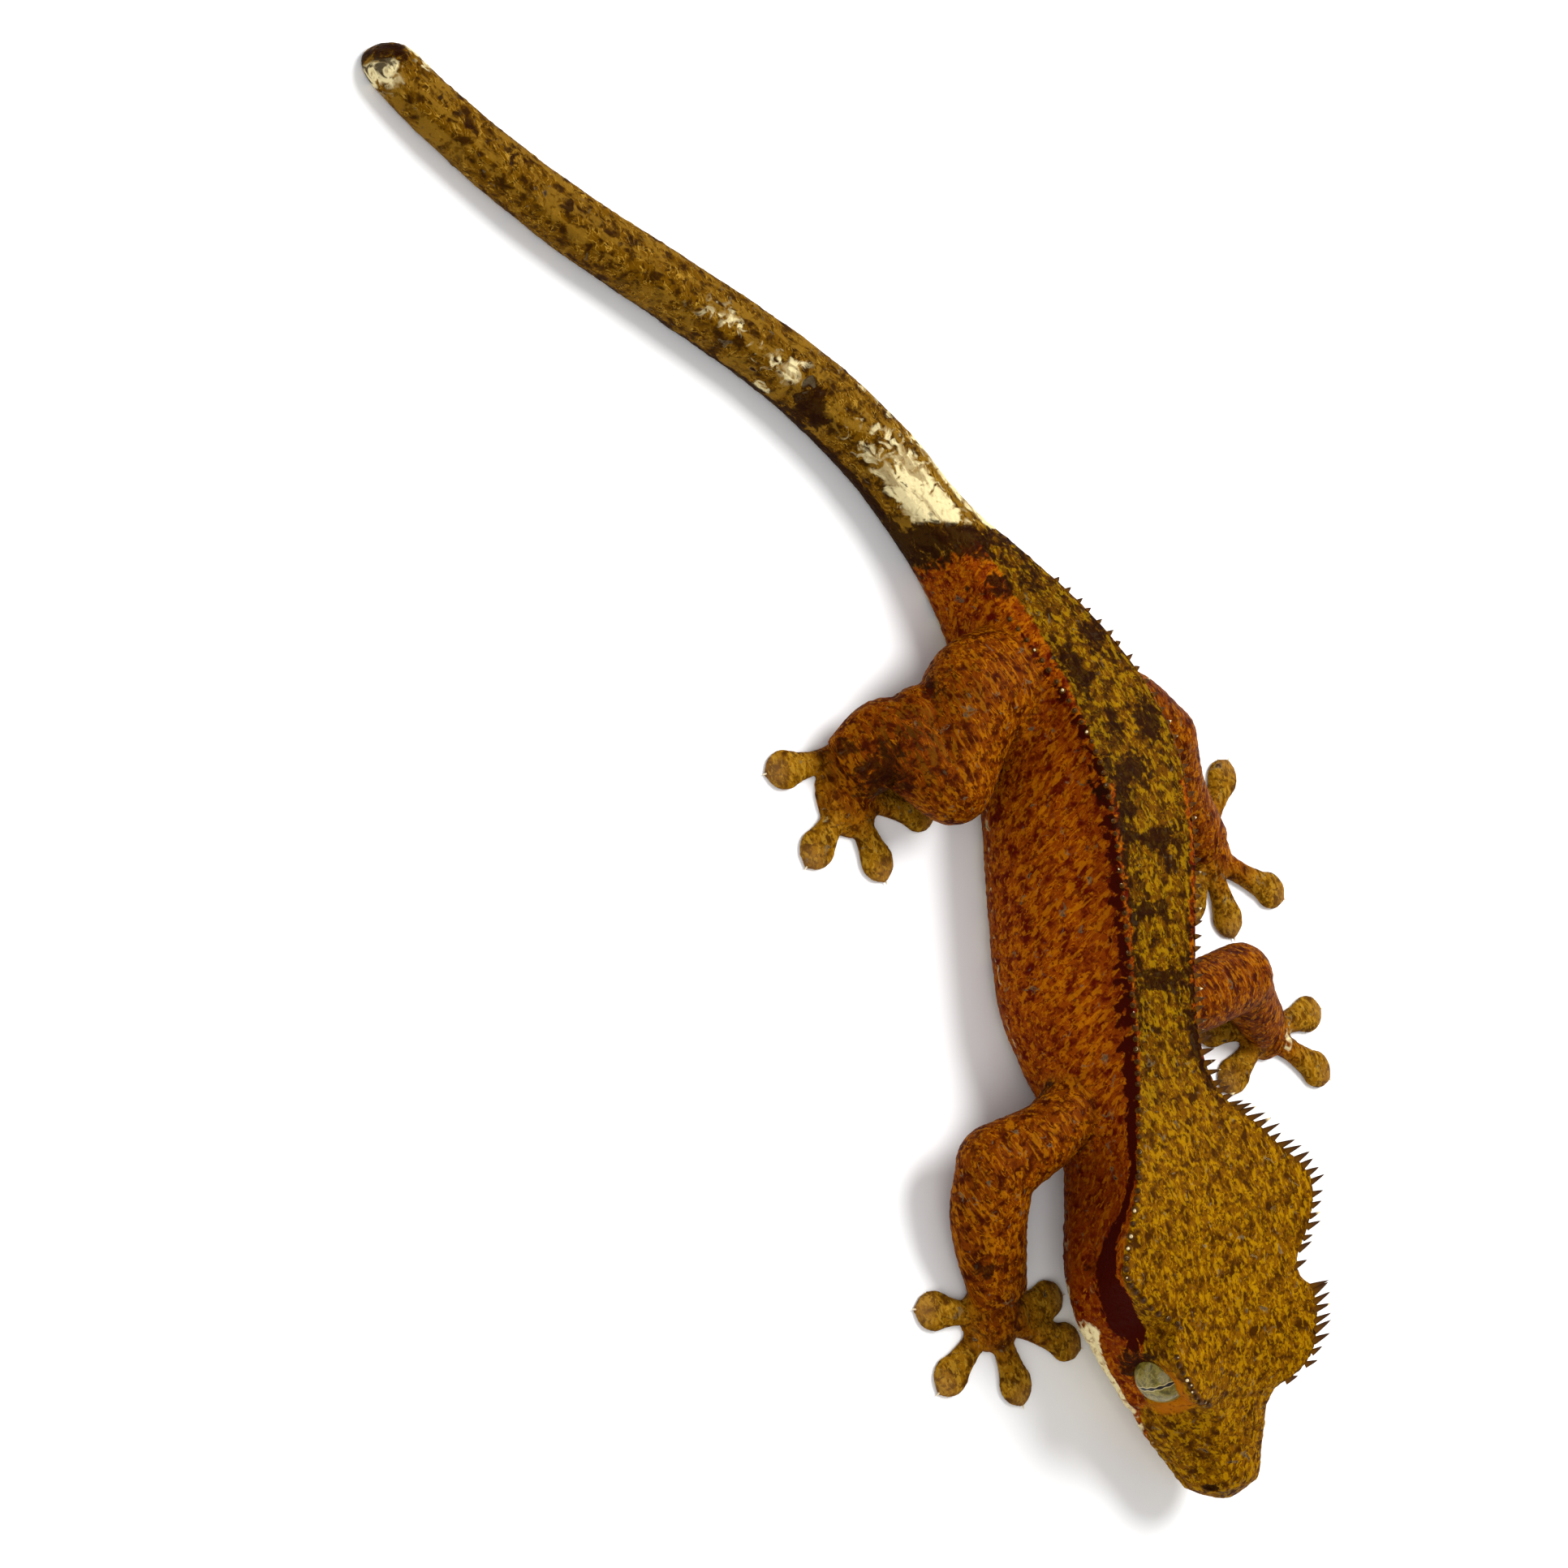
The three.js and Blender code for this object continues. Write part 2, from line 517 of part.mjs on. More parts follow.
function addNode(name, made, material) {
  const mesh = largest(made).getMesh();
  const geometry = new THREE.BufferGeometry();
  const positions = new Float32Array(mesh.numVert * 3);
  for (let i = 0; i < mesh.numVert; i++) {
    for (let c = 0; c < 3; c++) positions[i * 3 + c] = mesh.vertProperties[i * mesh.numProp + c];
  }
  geometry.setAttribute("position", new THREE.BufferAttribute(positions, 3));
  geometry.setIndex(new THREE.BufferAttribute(new Uint32Array(mesh.triVerts), 1));
  geometry.computeVertexNormals();
  const node = new THREE.Mesh(geometry, material);
  node.name = name;
  root.add(node);
}

// The head's orbits, mouth, nostrils and ears are cut, and its rims are put round the eyes
function dressHead(bare) {
  let made = bare;
  for (const side of [1, -1]) {
    const { centre, look } = eyeFrame(side);
    for (const out of [1.6, 3.2]) {
      made = made.subtract(ball(centre.clone().addScaledVector(look, out), EYE.radius * 0.9, 14, 10));
    }
    made = made.add(eyeRim(side)).subtract(ball(centre, EYE.radius + GAP));
    const { left } = spineAt(EAR.spine);
    const ear = flankPoint(EAR.spine, EAR.height, side);
    const outward = new THREE.Vector3(left[0] * side, left[1] * side, 0);
    made = made.subtract(pit(ear, outward, EAR.long, EAR.tall, EAR.deep));
    const nostril = flankPoint(NOSTRIL.spine, NOSTRIL.height, side);
    const facing = new THREE.Vector3(0.8 * side, -0.5, 0.35).normalize();
    made = made.subtract(pit(nostril, facing, NOSTRIL.radius, NOSTRIL.radius, NOSTRIL.deep));
  }
  return made.subtract(mouthCut());
}

// The trunk in lengths
for (const { name, from, to, step } of NODES) {
  const start = distanceOf(from) + (from === 0 ? 0 : GAP / 2);
  const end = distanceOf(to) - (to === "end" ? 0 : GAP / 2);
  let made = union([trunkLength(start, end, step), ...spinesBetween(start, end)]);
  if (name === "head") made = dressHead(made);
  const material = name.startsWith("tail") ? SKIN.tail : name === "head" ? SKIN.olive : SKIN.orange;
  addNode(name, made, material);
}

for (const [name, side] of [["eye_left", 1], ["eye_right", -1]]) {
  addNode(name, ball(eyeFrame(side).centre, EYE.radius, 18, 12), SKIN.eye);
}

// The legs: roots cut clear of the trunk, ends cut clear of the hand or foot
const trunkSkin = trunkLength(0, spineEnd, 2.6, GAP);
for (const limb of Object.values(LIMBS)) {
  const [upper, lower] = limbLengths(limb);
  addNode(limb.parts[0], upper.subtract(trunkSkin), SKIN.orange);
  addNode(limb.parts[1], lower.subtract(trunkSkin).subtract(sole(limb, GAP)), SKIN.orange);
  addNode(limb.foot, sole(limb), SKIN.toes);
}

// The part stands with the middle of its box's base at the origin
const box = new THREE.Box3().setFromObject(root);
const middle = box.getCenter(new THREE.Vector3());
root.position.set(-middle.x, -middle.y, -box.min.z);

export default root;
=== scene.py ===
# %% [markdown]
# # A crested gecko at rest
#
# A life-size museum model of a crested gecko, seen from above its right side.
# The solids of the CAD part give the true shape. This lesson grows one whole skin over them, gives
# it lids, lips, folds and scales, and adds the eyes, the crest spines and the claws.
#
# Everything is worked out in millimetres in the animal's own frame: the head towards -Y, its left
# towards +X, the floor at zero. Only the last step of each piece turns that into metres.

# %% Load the CAD part
import math

import bpy
import numpy as np
from mathutils import Matrix, Vector, kdtree, noise


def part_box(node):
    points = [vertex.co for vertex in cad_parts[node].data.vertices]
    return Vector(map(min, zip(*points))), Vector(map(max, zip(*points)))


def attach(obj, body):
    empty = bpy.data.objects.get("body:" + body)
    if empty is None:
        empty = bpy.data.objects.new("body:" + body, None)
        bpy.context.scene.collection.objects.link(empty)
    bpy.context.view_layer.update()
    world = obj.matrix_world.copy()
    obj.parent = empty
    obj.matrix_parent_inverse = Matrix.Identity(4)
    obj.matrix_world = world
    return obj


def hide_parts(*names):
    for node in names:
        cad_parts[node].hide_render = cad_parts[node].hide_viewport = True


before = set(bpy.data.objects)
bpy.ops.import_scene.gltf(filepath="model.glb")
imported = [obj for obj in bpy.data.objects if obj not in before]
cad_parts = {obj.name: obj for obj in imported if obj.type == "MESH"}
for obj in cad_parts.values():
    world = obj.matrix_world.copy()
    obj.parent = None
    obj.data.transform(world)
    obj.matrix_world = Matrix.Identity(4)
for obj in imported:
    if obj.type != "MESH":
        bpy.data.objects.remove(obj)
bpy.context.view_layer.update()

# %% [markdown]
# ## The trunk's stations
#
# A real gecko's trunk is one smooth tube from snout to tail, with a ridge of skin, the crest, along
# each edge of its back. A carver would cut cardboard sections and stretch a skin over them, and so
# does this lesson: each station gives one section, and a cubic runs through them.

# %% Stations of the trunk
# name, x, y, height of the back's midline, then half width and height of crest, side and belly
TRUNK = [
    ("snout_tip", 1.8, -93.0, 11.0, 2.4, 10.4, 3.5, 8.0, 1.5, 5.4),
    ("nostrils", 1.9, -90.4, 11.9, 3.2, 11.3, 4.9, 8.1, 2.7, 4.8),
    ("snout", 1.7, -86.5, 13.3, 3.9, 12.9, 6.6, 8.4, 3.9, 4.3),
    ("eye_front", 1.4, -81.6, 15.3, 5.1, 15.5, 9.0, 8.7, 5.2, 3.8),
    ("brow_front", 1.5, -79.0, 16.7, 9.3, 18.3, 10.3, 8.7, 5.8, 3.6),
    ("brow", 1.3, -75.4, 18.0, 11.0, 19.2, 11.3, 8.7, 6.4, 3.5),
    ("brow_back", 1.0, -72.0, 18.8, 11.7, 19.4, 12.6, 8.7, 7.0, 3.5),
    ("notch", 0.9, -69.2, 19.2, 10.0, 19.2, 13.6, 8.8, 7.6, 3.5),
    ("temple", 0.6, -65.6, 19.7, 13.5, 19.6, 14.1, 8.9, 8.0, 3.5),
    ("crest_corner", 0.2, -60.6, 20.3, 15.7, 20.0, 13.4, 9.1, 7.8, 3.5),
    ("crest_back", -0.4, -54.5, 20.4, 11.8, 20.2, 10.6, 9.3, 6.2, 3.8),
    ("nape", -1.0, -48.0, 19.8, 7.5, 19.8, 8.2, 9.7, 4.4, 3.8),
    ("neck", -0.4, -41.5, 19.0, 5.3, 19.1, 9.6, 9.0, 5.8, 1.8),
    ("shoulders", 0.8, -33.5, 19.4, 5.0, 19.5, 11.8, 8.2, 7.0, 0.4),
    ("chest", 2.6, -24.0, 20.4, 5.6, 20.4, 11.9, 8.0, 6.8, 0),
    ("waist", 4.8, -13.5, 20.7, 6.2, 20.5, 11.7, 8.0, 6.6, 0),
    ("loin", 5.9, -5.0, 19.7, 6.2, 19.3, 10.9, 7.8, 6.0, 0),
    ("hips", 5.3, 3.0, 17.4, 5.8, 16.8, 9.2, 7.4, 4.8, 0),
    ("rump", 3.2, 11.0, 14.6, 4.9, 13.7, 7.3, 6.6, 3.7, 0),
    ("vent", 0.3, 18.2, 11.7, 4.1, 10.6, 5.1, 5.6, 2.4, 0),
    ("tail_root", -3.0, 25.0, 9.3, 3.4, 8.1, 4.1, 4.7, 1.8, 0),
    ("tail_a", -8.5, 34.6, 8.6, 3.2, 7.5, 3.9, 4.3, 1.7, 0),
    ("tail_b", -17.5, 45.2, 7.9, 3.0, 6.9, 3.7, 3.9, 1.6, 0),
    ("tail_c", -29.6, 55.6, 7.3, 2.8, 6.4, 3.5, 3.6, 1.5, 0),
    ("tail_d", -43.1, 66.5, 6.6, 2.6, 5.7, 3.3, 3.2, 1.4, 0),
    ("tail_e", -54.6, 78.0, 5.6, 2.4, 4.8, 3.0, 2.7, 1.4, 0),
    ("tail_tip", -61.8, 87.6, 4.4, 2.3, 3.7, 3.0, 2.1, 1.6, 0),
]
SNOUT_ROUND = 2.6  # the length over which the snout closes to a round tip
TAIL_ROUND = 3.4


def smooth(distances, rows, d):
    """Rows of numbers at rising distances, read off at d by a cubic through each row."""
    distances = np.asarray(distances, float)
    rows = np.asarray(rows, float)
    d = np.atleast_1d(np.asarray(d, float))
    last = len(distances) - 1
    i = np.clip(np.searchsorted(distances, d) - 1, 0, last - 1)
    before = np.maximum(np.arange(last + 1) - 1, 0)
    after = np.minimum(np.arange(last + 1) + 1, last)
    slopes = (rows[after] - rows[before]) / (distances[after] - distances[before])[:, None]
    span = (distances[i + 1] - distances[i])[:, None]
    t = np.clip((d - distances[i])[:, None] / span, 0, 1)
    start = (2 * t**3 - 3 * t**2 + 1) * rows[i] + (t**3 - 2 * t**2 + t) * span * slopes[i]
    end = (3 * t**2 - 2 * t**3) * rows[i + 1] + (t**3 - t**2) * span * slopes[i + 1]
    return start + end


def run_of(points):
    steps = np.linalg.norm(np.diff(np.asarray(points, float), axis=0), axis=1)
    return np.concatenate([[0], np.cumsum(steps)])


SPINE = np.array([station[1:3] for station in TRUNK])
SECTIONS = np.array([station[3:] for station in TRUNK], float)
SPINE_RUN = run_of(SPINE)
SPINE_END = SPINE_RUN[-1]


def spine_at(d):
    """The spine's place in plan and the direction to the animal's left, at distance d from the snout."""
    here = smooth(SPINE_RUN, SPINE, d)
    ahead = smooth(SPINE_RUN, SPINE, np.minimum(SPINE_END, np.atleast_1d(d) + 0.5))
    behind = smooth(SPINE_RUN, SPINE, np.maximum(0, np.atleast_1d(d) - 0.5))
    along = ahead - behind
    along /= np.linalg.norm(along, axis=1)[:, None]
    return here, np.stack([along[:, 1], -along[:, 0]], axis=1)


print(f"spine length {SPINE_END:.1f} mm")

# %% [markdown]
# ## The trunk's shell
#
# Each section runs from the back's midline out to the crest, down the flank, round the turn of the
# belly and along the flat underside. Four Bezier stretches give it, so that the crest stays an edge
# while the rest stays round.

# %% Loft the trunk
AROUND = {"back": 12, "flank": 17, "turn": 11, "belly": 6}
TRUNK_STEP = 0.5


def bezier(a, b, c, e, t):
    a, b, c, e = (np.asarray(p)[:, None, :] for p in (a, b, c, e))
    t = t[None, :, None]
    s = 1 - t
    return s**3 * a + 3 * s * s * t * b + 3 * s * t * t * c + t**3 * e


def pair(lateral, height):
    return np.stack([lateral, height], axis=1)


def shares(count):
    return np.arange(count) / count


def half_sections(d):
    """Half sections at each distance, from the back's midline to the belly's, as lateral and height."""
    top, crest_x, crest_z, side_x, side_z, belly_x, belly_z = smooth(SPINE_RUN, SECTIONS, d).T
    belly_z = np.maximum(0, belly_z)
    crest, side, belly = pair(crest_x, crest_z), pair(side_x, side_z), pair(belly_x, belly_z)
    drop, low = crest_z - side_z, side_z - belly_z
    # the shares below set each stretch's two handles, and with them how full it is
    back = bezier(
        pair(0 * top, top), pair(crest_x * 0.35, top),
        pair(crest_x * 0.75, (top + crest_z) / 2), crest, shares(AROUND["back"]),
    )
    flank = bezier(
        crest, pair(crest_x + (side_x - crest_x) * 0.25, crest_z - drop * 0.35),
        pair(side_x, side_z + drop * 0.5), side, shares(AROUND["flank"]),
    )
    turn = bezier(
        side, pair(side_x, side_z - low * 0.6),
        pair(belly_x + (side_x - belly_x) * 0.5, belly_z), belly, shares(AROUND["turn"]),
    )
    inward = (1 - np.arange(AROUND["belly"] + 1) / AROUND["belly"])[None, :, None]
    under = pair(belly_x, 0 * belly_z)[:, None, :] * inward + pair(0 * top, belly_z)[:, None, :]
    return np.concatenate([back, flank, turn, under], axis=1)


def dome(share):
    """How wide a round end is, at a share of the way from its tip."""
    return np.sqrt(np.maximum(0.0016, 1 - (1 - np.clip(share, 0, 1)) ** 2))


def trunk_rings(d):
    """The trunk's rings in space at the distances d."""
    half = half_sections(d)
    mirrored = half[:, -2:0:-1] * [-1, 1]
    ring = np.concatenate([half, mirrored], axis=1)
    middle = (half[:, 0, 1] + half[:, -1, 1]) / 2
    scale = dome(d / SNOUT_ROUND) * dome((SPINE_END - d) / TAIL_ROUND)
    # the tail's tip shrinks towards the floor, so that its underside stays flat
    pivot = np.where(d > SPINE_END - TAIL_ROUND, half[:, -1, 1], middle)[:, None]
    lateral = ring[:, :, 0] * scale[:, None]
    height = pivot + (ring[:, :, 1] - pivot) * scale[:, None]
    here, left = spine_at(d)
    plan = here[:, None, :] + left[:, None, :] * lateral[:, :, None]
    return np.concatenate([plan, height[:, :, None]], axis=2)


trunk_at = np.linspace(0, SPINE_END, round(SPINE_END / TRUNK_STEP) + 1)
# more rings at both ends, where the trunk rounds off
first, last = trunk_at[0] + [0, 0.06, 0.18, 0.33], trunk_at[-1] - [0.3, 0.12, 0]
trunk_at = np.concatenate([first, trunk_at[1:-1], last])
trunk = trunk_rings(trunk_at)
print("trunk:", trunk.shape[0], "rings of", trunk.shape[1])

# %% [markdown]
# ## Legs, palms and toes
#
# The legs of a resting gecko are short bent tubes. Each is swept through three joints and then
# through the next three, with a ball of flesh in the elbow or knee. The foot is a low dome with
# five toes that swell into flat sticky pads.

# %% Sweep the limbs
# joints in plan with heights, then half width and half height at each, the palm, and the toes' tips
LIMBS = {
    "foreleg_right": {
        "path": [
            (-5.5, -42, 10), (-12.4, -45.6, 10), (-19.8, -47.8, 7.6), (-20.6, -53.6, 5.2),
            (-19.6, -63.2, 2.3),
        ],
        "half": [(3.9, 4.0), (3.9, 3.9), (4.9, 4.0), (5.0, 3.7), (3.9, 2.2)],
        "palm": (-19.9, -64.8, 4.5, 4.3),
        "toes": [(-30.5, -61.1), (-30.1, -71.1), (-18.5, -76.0), (-7.9, -72.2), (-8.6, -65.6)],
    },
    "foreleg_left": {
        "path": [
            (5.5, -36.0, 10), (13.5, -36.2, 10), (24.4, -35.8, 7.6), (27.8, -39.4, 5.0), (32.3, -43.4, 2.2),
        ],
        "half": [(4.0, 3.9), (4.2, 3.8), (4.2, 3.7), (3.6, 3.0), (3.2, 2.0)],
        "palm": (32.8, -43.8, 3.7, 3.6),
        "toes": [(31.8, -34.6), (43.6, -43.4), (42.1, -52.2), (23.8, -49.2), (21.8, -40.8)],
    },
    "hindleg_right": {
        "path": [
            (3.0, 5.0, 9.5), (-7.2, 4.4, 9.4), (-12.8, -4.4, 8.2), (-18.2, 1.6, 6.2), (-22.8, -0.4, 2.6),
        ],
        "half": [(5.4, 4.6), (6.8, 5.2), (5.0, 4.4), (5.3, 3.9), (4.3, 2.4)],
        "palm": (-22.0, -3.0, 4.4, 5.0),
        "toes": [(-32.7, 1.6), (-30.2, -9.8), (-19.4, -13.8), (-10.0, -8.0), (-12.0, -1.4)],
        "heel": 4.4,
    },
    "hindleg_left": {
        "path": [
            (7.0, 1.0, 9.5), (13.6, -0.6, 9.8), (19.8, -5.6, 8.8), (23.2, -12.0, 6.0), (29.8, -20.0, 2.4),
        ],
        "half": [(4.4, 4.2), (4.8, 4.6), (4.6, 4.5), (3.9, 3.4), (3.3, 2.2)],
        "palm": (30.6, -20.9, 3.9, 4.2),
        "toes": [(38.4, -10.4), (42.0, -29.0), (32.0, -31.9), (24.4, -28.4), (20.8, -21.6)],
        "heel": 2.0,
    },
}
TOE = {"neck": 1.45, "height": 1.7, "pad": 2.4, "pad_height": 1.35, "pad_length": 5.6, "palm_height": 2.9}


def sweep(path, half, every=0.7, sides=28):
    """A tube of oval section along a path."""
    run = run_of(path)
    d = np.linspace(0, run[-1], round(run[-1] / every) + 1)
    here = smooth(run, path, d)
    ahead = smooth(run, path, np.minimum(run[-1], d + 0.4))
    along = ahead - smooth(run, path, np.maximum(0, d - 0.4))
    along /= np.linalg.norm(along, axis=1)[:, None]
    across = np.cross(along, [0, 0, 1.0])
    across /= np.linalg.norm(across, axis=1)[:, None]
    over = np.cross(across, along)
    wide, tall = smooth(run, half, d).T
    angle = np.linspace(0, 2 * np.pi, sides, endpoint=False)
    ring = here[:, None] + across[:, None] * (np.cos(angle) * wide[:, None])[:, :, None]
    ring = ring + over[:, None] * (np.sin(angle) * tall[:, None])[:, :, None]
    ring[:, :, 2] = np.maximum(0.2, ring[:, :, 2])
    return ring


def ellipsoid(centre, radii, rings=18, sides=28, floor=None):
    turn = np.linspace(0.04, np.pi - 0.04, rings)[:, None]
    angle = np.linspace(0, 2 * np.pi, sides, endpoint=False)[None, :]
    x, y, z = np.sin(turn) * np.cos(angle), np.sin(turn) * np.sin(angle), np.cos(turn) + 0 * angle
    unit = np.stack([x, y, z], axis=2)
    made = np.asarray(centre) + unit * radii
    if floor is not None:
        made[:, :, 2] = np.maximum(floor, made[:, :, 2])
    return made


def toe(root, tip, rings=30):
    """A narrow neck that swells into a flat oval pad, lying on the floor."""
    root, tip = np.array(root, float), np.array(tip, float)
    length = np.linalg.norm(tip - root)
    along = (tip - root) / length
    across = np.array([along[1], -along[0]])
    pad = length - TOE["pad_length"]
    run = [0, pad * 0.6, pad + 0.8, length - 2.9, length - 1.0, length]
    rows = [
        (TOE["neck"] * 1.5, TOE["height"] * 1.35), (TOE["neck"], TOE["height"]),
        (TOE["neck"] * 1.2, TOE["height"] * 0.95), (TOE["pad"], TOE["pad_height"]),
        (TOE["pad"] * 0.72, TOE["pad_height"] * 0.8), (0.22, 0.5),
    ]
    d = np.linspace(0, length, rings)
    half, height = smooth(run, rows, d).T
    turn = np.linspace(0, 2 * np.pi, 22, endpoint=False)
    u = np.sign(np.cos(turn)) * np.abs(np.cos(turn)) ** 0.75
    rise = np.abs(np.sin(turn))
    v = np.where(np.sin(turn) > 0, 0.3 + 0.72 * rise, 0.3 - 0.3 * rise**0.5)
    middle = root + along * d[:, None]
    plan = middle[:, None] + across * (u[None, :] * half[:, None])[:, :, None]
    return np.concatenate([plan, (v[None, :] * height[:, None])[:, :, None]], axis=2)


def toe_roots(limb):
    """Where each toe leaves the palm. A hind foot's first toe leaves it further back, at the heel."""
    x, y = limb["palm"][:2]
    return [(x, y + limb.get("heel", 0))] + [(x, y)] * (len(limb["toes"]) - 1)


# skin that fills the bend of the right hind leg: centre and radii
WEBS = [((-14.4, 3.4, 7.6), (4.6, 4.0, 3.4)), ((-20.6, 1.2, 4.4), (3.6, 4.0, 3.4))]

legs, feet = [], []
for limb in LIMBS.values():
    path, half = limb["path"], limb["half"]
    legs += [sweep(path[:3], half[:3]), sweep(path[2:], half[2:])]
    legs.append(ellipsoid(path[2], (half[2][0], half[2][0], half[2][1])))
    x, y, wide, long = limb["palm"]
    feet.append(ellipsoid((x, y, 0), (wide, long, TOE["palm_height"]), floor=0.0))
    feet += [toe(root, tip) for root, tip in zip(toe_roots(limb), limb["toes"])]
legs += [ellipsoid(centre, radii) for centre, radii in WEBS]
print("limb shells:", len(legs), "foot shells:", len(feet))

# %% [markdown]
# ## Lids round the eyes
#
# A crested gecko has no moving lids. Its eye sits behind a clear scale, in a rim of skin that is
# thin below and thick and doubled above. Each rim is a closed ring swept round the line of sight.

# %% Ring the eyes with lids
EYE = {"spine": 18.2, "lateral": 9.2, "height": 13.2, "radius": 3.3, "up": 30, "forward": 15}
# folds: the angle from the line of sight and the half thickness, each below and above, and the lift
LID_FOLDS = [(86, 67, 0.34, 0.5, 0.1), (102, 78, 0.36, 0.62, 0.45)]


def eye_frame(side):
    """Centre of an eye, with the directions of sight, towards the snout, and up across the eye."""
    here, left = (v[0] for v in spine_at(EYE["spine"]))
    out = np.array([*(left * side), 0.0])
    ahead = np.array([left[1], -left[0], 0.0])
    up, forward = math.radians(EYE["up"]), math.radians(EYE["forward"])
    look = (out * math.cos(forward) + ahead * math.sin(forward)) * math.cos(up) + [0, 0, math.sin(up)]
    front = ahead - look * (ahead @ look)
    front /= np.linalg.norm(front)
    rise = np.cross(front, look) * -side
    rise *= np.sign(rise[2])
    centre = np.array([*(here + left * EYE["lateral"] * side), EYE["height"]])
    return centre, look, front, rise


def lid_ring(side, open_low, open_high, thick_low, thick_high, lift):
    """One fold of skin round an eye. It is open by an angle from the line of sight, below and above."""
    centre, look, front, rise = eye_frame(side)
    turn = np.linspace(0, 2 * np.pi, 72, endpoint=False)
    high = 0.5 + 0.5 * np.sin(turn)
    opening = np.radians(open_low + (open_high - open_low) * high)
    thick = thick_low + (thick_high - thick_low) * high**1.5
    away = front * np.cos(turn)[:, None] + rise * np.sin(turn)[:, None]
    reach = (EYE["radius"] + lift * high)[:, None]
    middle = centre + look * np.cos(opening)[:, None] * reach + away * np.sin(opening)[:, None] * reach
    outward = middle - centre
    outward /= np.linalg.norm(outward, axis=1)[:, None]
    tangent = np.roll(middle, -1, axis=0) - np.roll(middle, 1, axis=0)
    tangent /= np.linalg.norm(tangent, axis=1)[:, None]
    beside = np.cross(tangent, outward)
    angle = np.linspace(0, 2 * np.pi, 12, endpoint=False)
    ring = middle[:, None] + outward[:, None] * (np.cos(angle) * thick[:, None])[:, :, None]
    return ring + beside[:, None] * (np.sin(angle) * thick[:, None])[:, :, None]


lids = [lid_ring(side, *fold) for side in (1, -1) for fold in LID_FOLDS]
print("lid folds:", len(lids))

# %% [markdown]
# ## One skin
#
# The shells overlap freely. A voxel remesh melts them into one closed skin with even, small
# faces, as a mould-maker does by pouring one coat over all the parts.

# %% Melt the shells into one skin
VOXEL = 0.27


def shell_faces(rings, first, closed=False):
    """Quads between neighbouring rings. Open shells get a face over each end."""
    count, sides = rings.shape[:2]
    r = np.arange(count if closed else count - 1)[:, None]
    i = np.arange(sides)[None, :]
    a, b = r * sides + i, r * sides + (i + 1) % sides
    c, e = ((r + 1) % count) * sides + (i + 1) % sides, ((r + 1) % count) * sides + i
    quads = (np.stack([a, b, c, e], axis=2).reshape(-1, 4) + first).tolist()
    if not closed:
        quads.append((np.arange(sides)[::-1] + first).tolist())
        quads.append((np.arange(sides) + (count - 1) * sides + first).tolist())
    return quads


def mesh_object(name, points, faces):
    mesh = bpy.data.meshes.new(name)
    mesh.from_pydata(np.asarray(points, float).tolist(), [], faces)
    made = bpy.data.objects.new(name, mesh)
    bpy.context.scene.collection.objects.link(made)
    return made


def applied(piece):
    """Gives a piece the mesh that its modifiers make, and takes the modifiers off."""
    bpy.context.view_layer.update()
    graph = bpy.context.evaluated_depsgraph_get()
    mesh = bpy.data.meshes.new_from_object(piece.evaluated_get(graph))
    piece.modifiers.clear()
    old = piece.data
    piece.data = mesh
    bpy.data.meshes.remove(old)
    return piece


points, faces = [], []
for rings, closed in [(trunk, False)] + [(r, False) for r in legs + feet] + [(r, True) for r in lids]:
    faces += shell_faces(rings, sum(len(p) for p in points), closed)
    points.append(rings.reshape(-1, 3))
skin = mesh_object("skin", np.concatenate(points), faces)
bpy.context.view_layer.objects.active = skin
skin.select_set(True)
bpy.ops.object.mode_set(mode="EDIT")
bpy.ops.mesh.select_all(action="SELECT")
bpy.ops.mesh.normals_make_consistent(inside=False)
bpy.ops.object.mode_set(mode="OBJECT")
melt = skin.modifiers.new("melt", "REMESH")
melt.mode = "VOXEL"
melt.voxel_size = VOXEL
applied(skin)
print("skin:", len(skin.data.vertices), "points")

# %% [markdown]
# ## Places on the body
#
# Folds and markings follow the animal, not the room. So every point of the skin gets its distance
# along the spine, its offset to the left, and its margin: how far it lies outside the crest line,
# counted down the flank, or inside it on the back, as a negative number.

# %% Find each point's place on the body
class Places:
    """Where points lie on the body, as arrays that all have one number for each point."""

    def __init__(self, points):
        samples = np.linspace(0, SPINE_END, 830)
        here, left = spine_at(samples)
        near = np.empty(len(points), int)
        for start in range(0, len(points), 20000):
            chunk = points[start:start + 20000, None, :2] - here[None]
            near[start:start + 20000] = np.argmin((chunk**2).sum(axis=2), axis=1)
        self.z = points[:, 2]
        self.along = samples[near]
        self.left = ((points[:, :2] - here[near]) * left[near]).sum(axis=1)
        crest_x, crest_z = smooth(SPINE_RUN, SECTIONS[:, 1:3], self.along).T
        beside = np.abs(self.left) - crest_x
        below = crest_z - self.z
        on_back = below < 0.5 - 0.6 * beside
        flank = np.hypot(np.maximum(beside, 0), np.maximum(below, 0))
        self.margin = np.where(on_back, beside, flank)


def shell_distance(points, shells):
    """The distance from each point to the nearest point of some shells."""
    cloud = np.concatenate([s.reshape(-1, 3) for s in shells])
    tree = kdtree.KDTree(len(cloud))
    for i, p in enumerate(cloud):
        tree.insert(p, i)
    tree.balance()
    return np.array([tree.find(p)[2] for p in points])


def coordinates(mesh, what="vertices", key="co"):
    values = np.empty(len(getattr(mesh, what)) * 3, np.float32)
    getattr(mesh, what).foreach_get(key, values)
    return values.reshape(-1, 3).astype(float)


def step(low, high, value):
    """A soft step from 0 at low to 1 at high."""
    t = np.clip((value - low) / (high - low), 0, 1)
    return t * t * (3 - 2 * t)


def hill(value, centre, width):
    return np.exp(-(((value - centre) / width) ** 2))


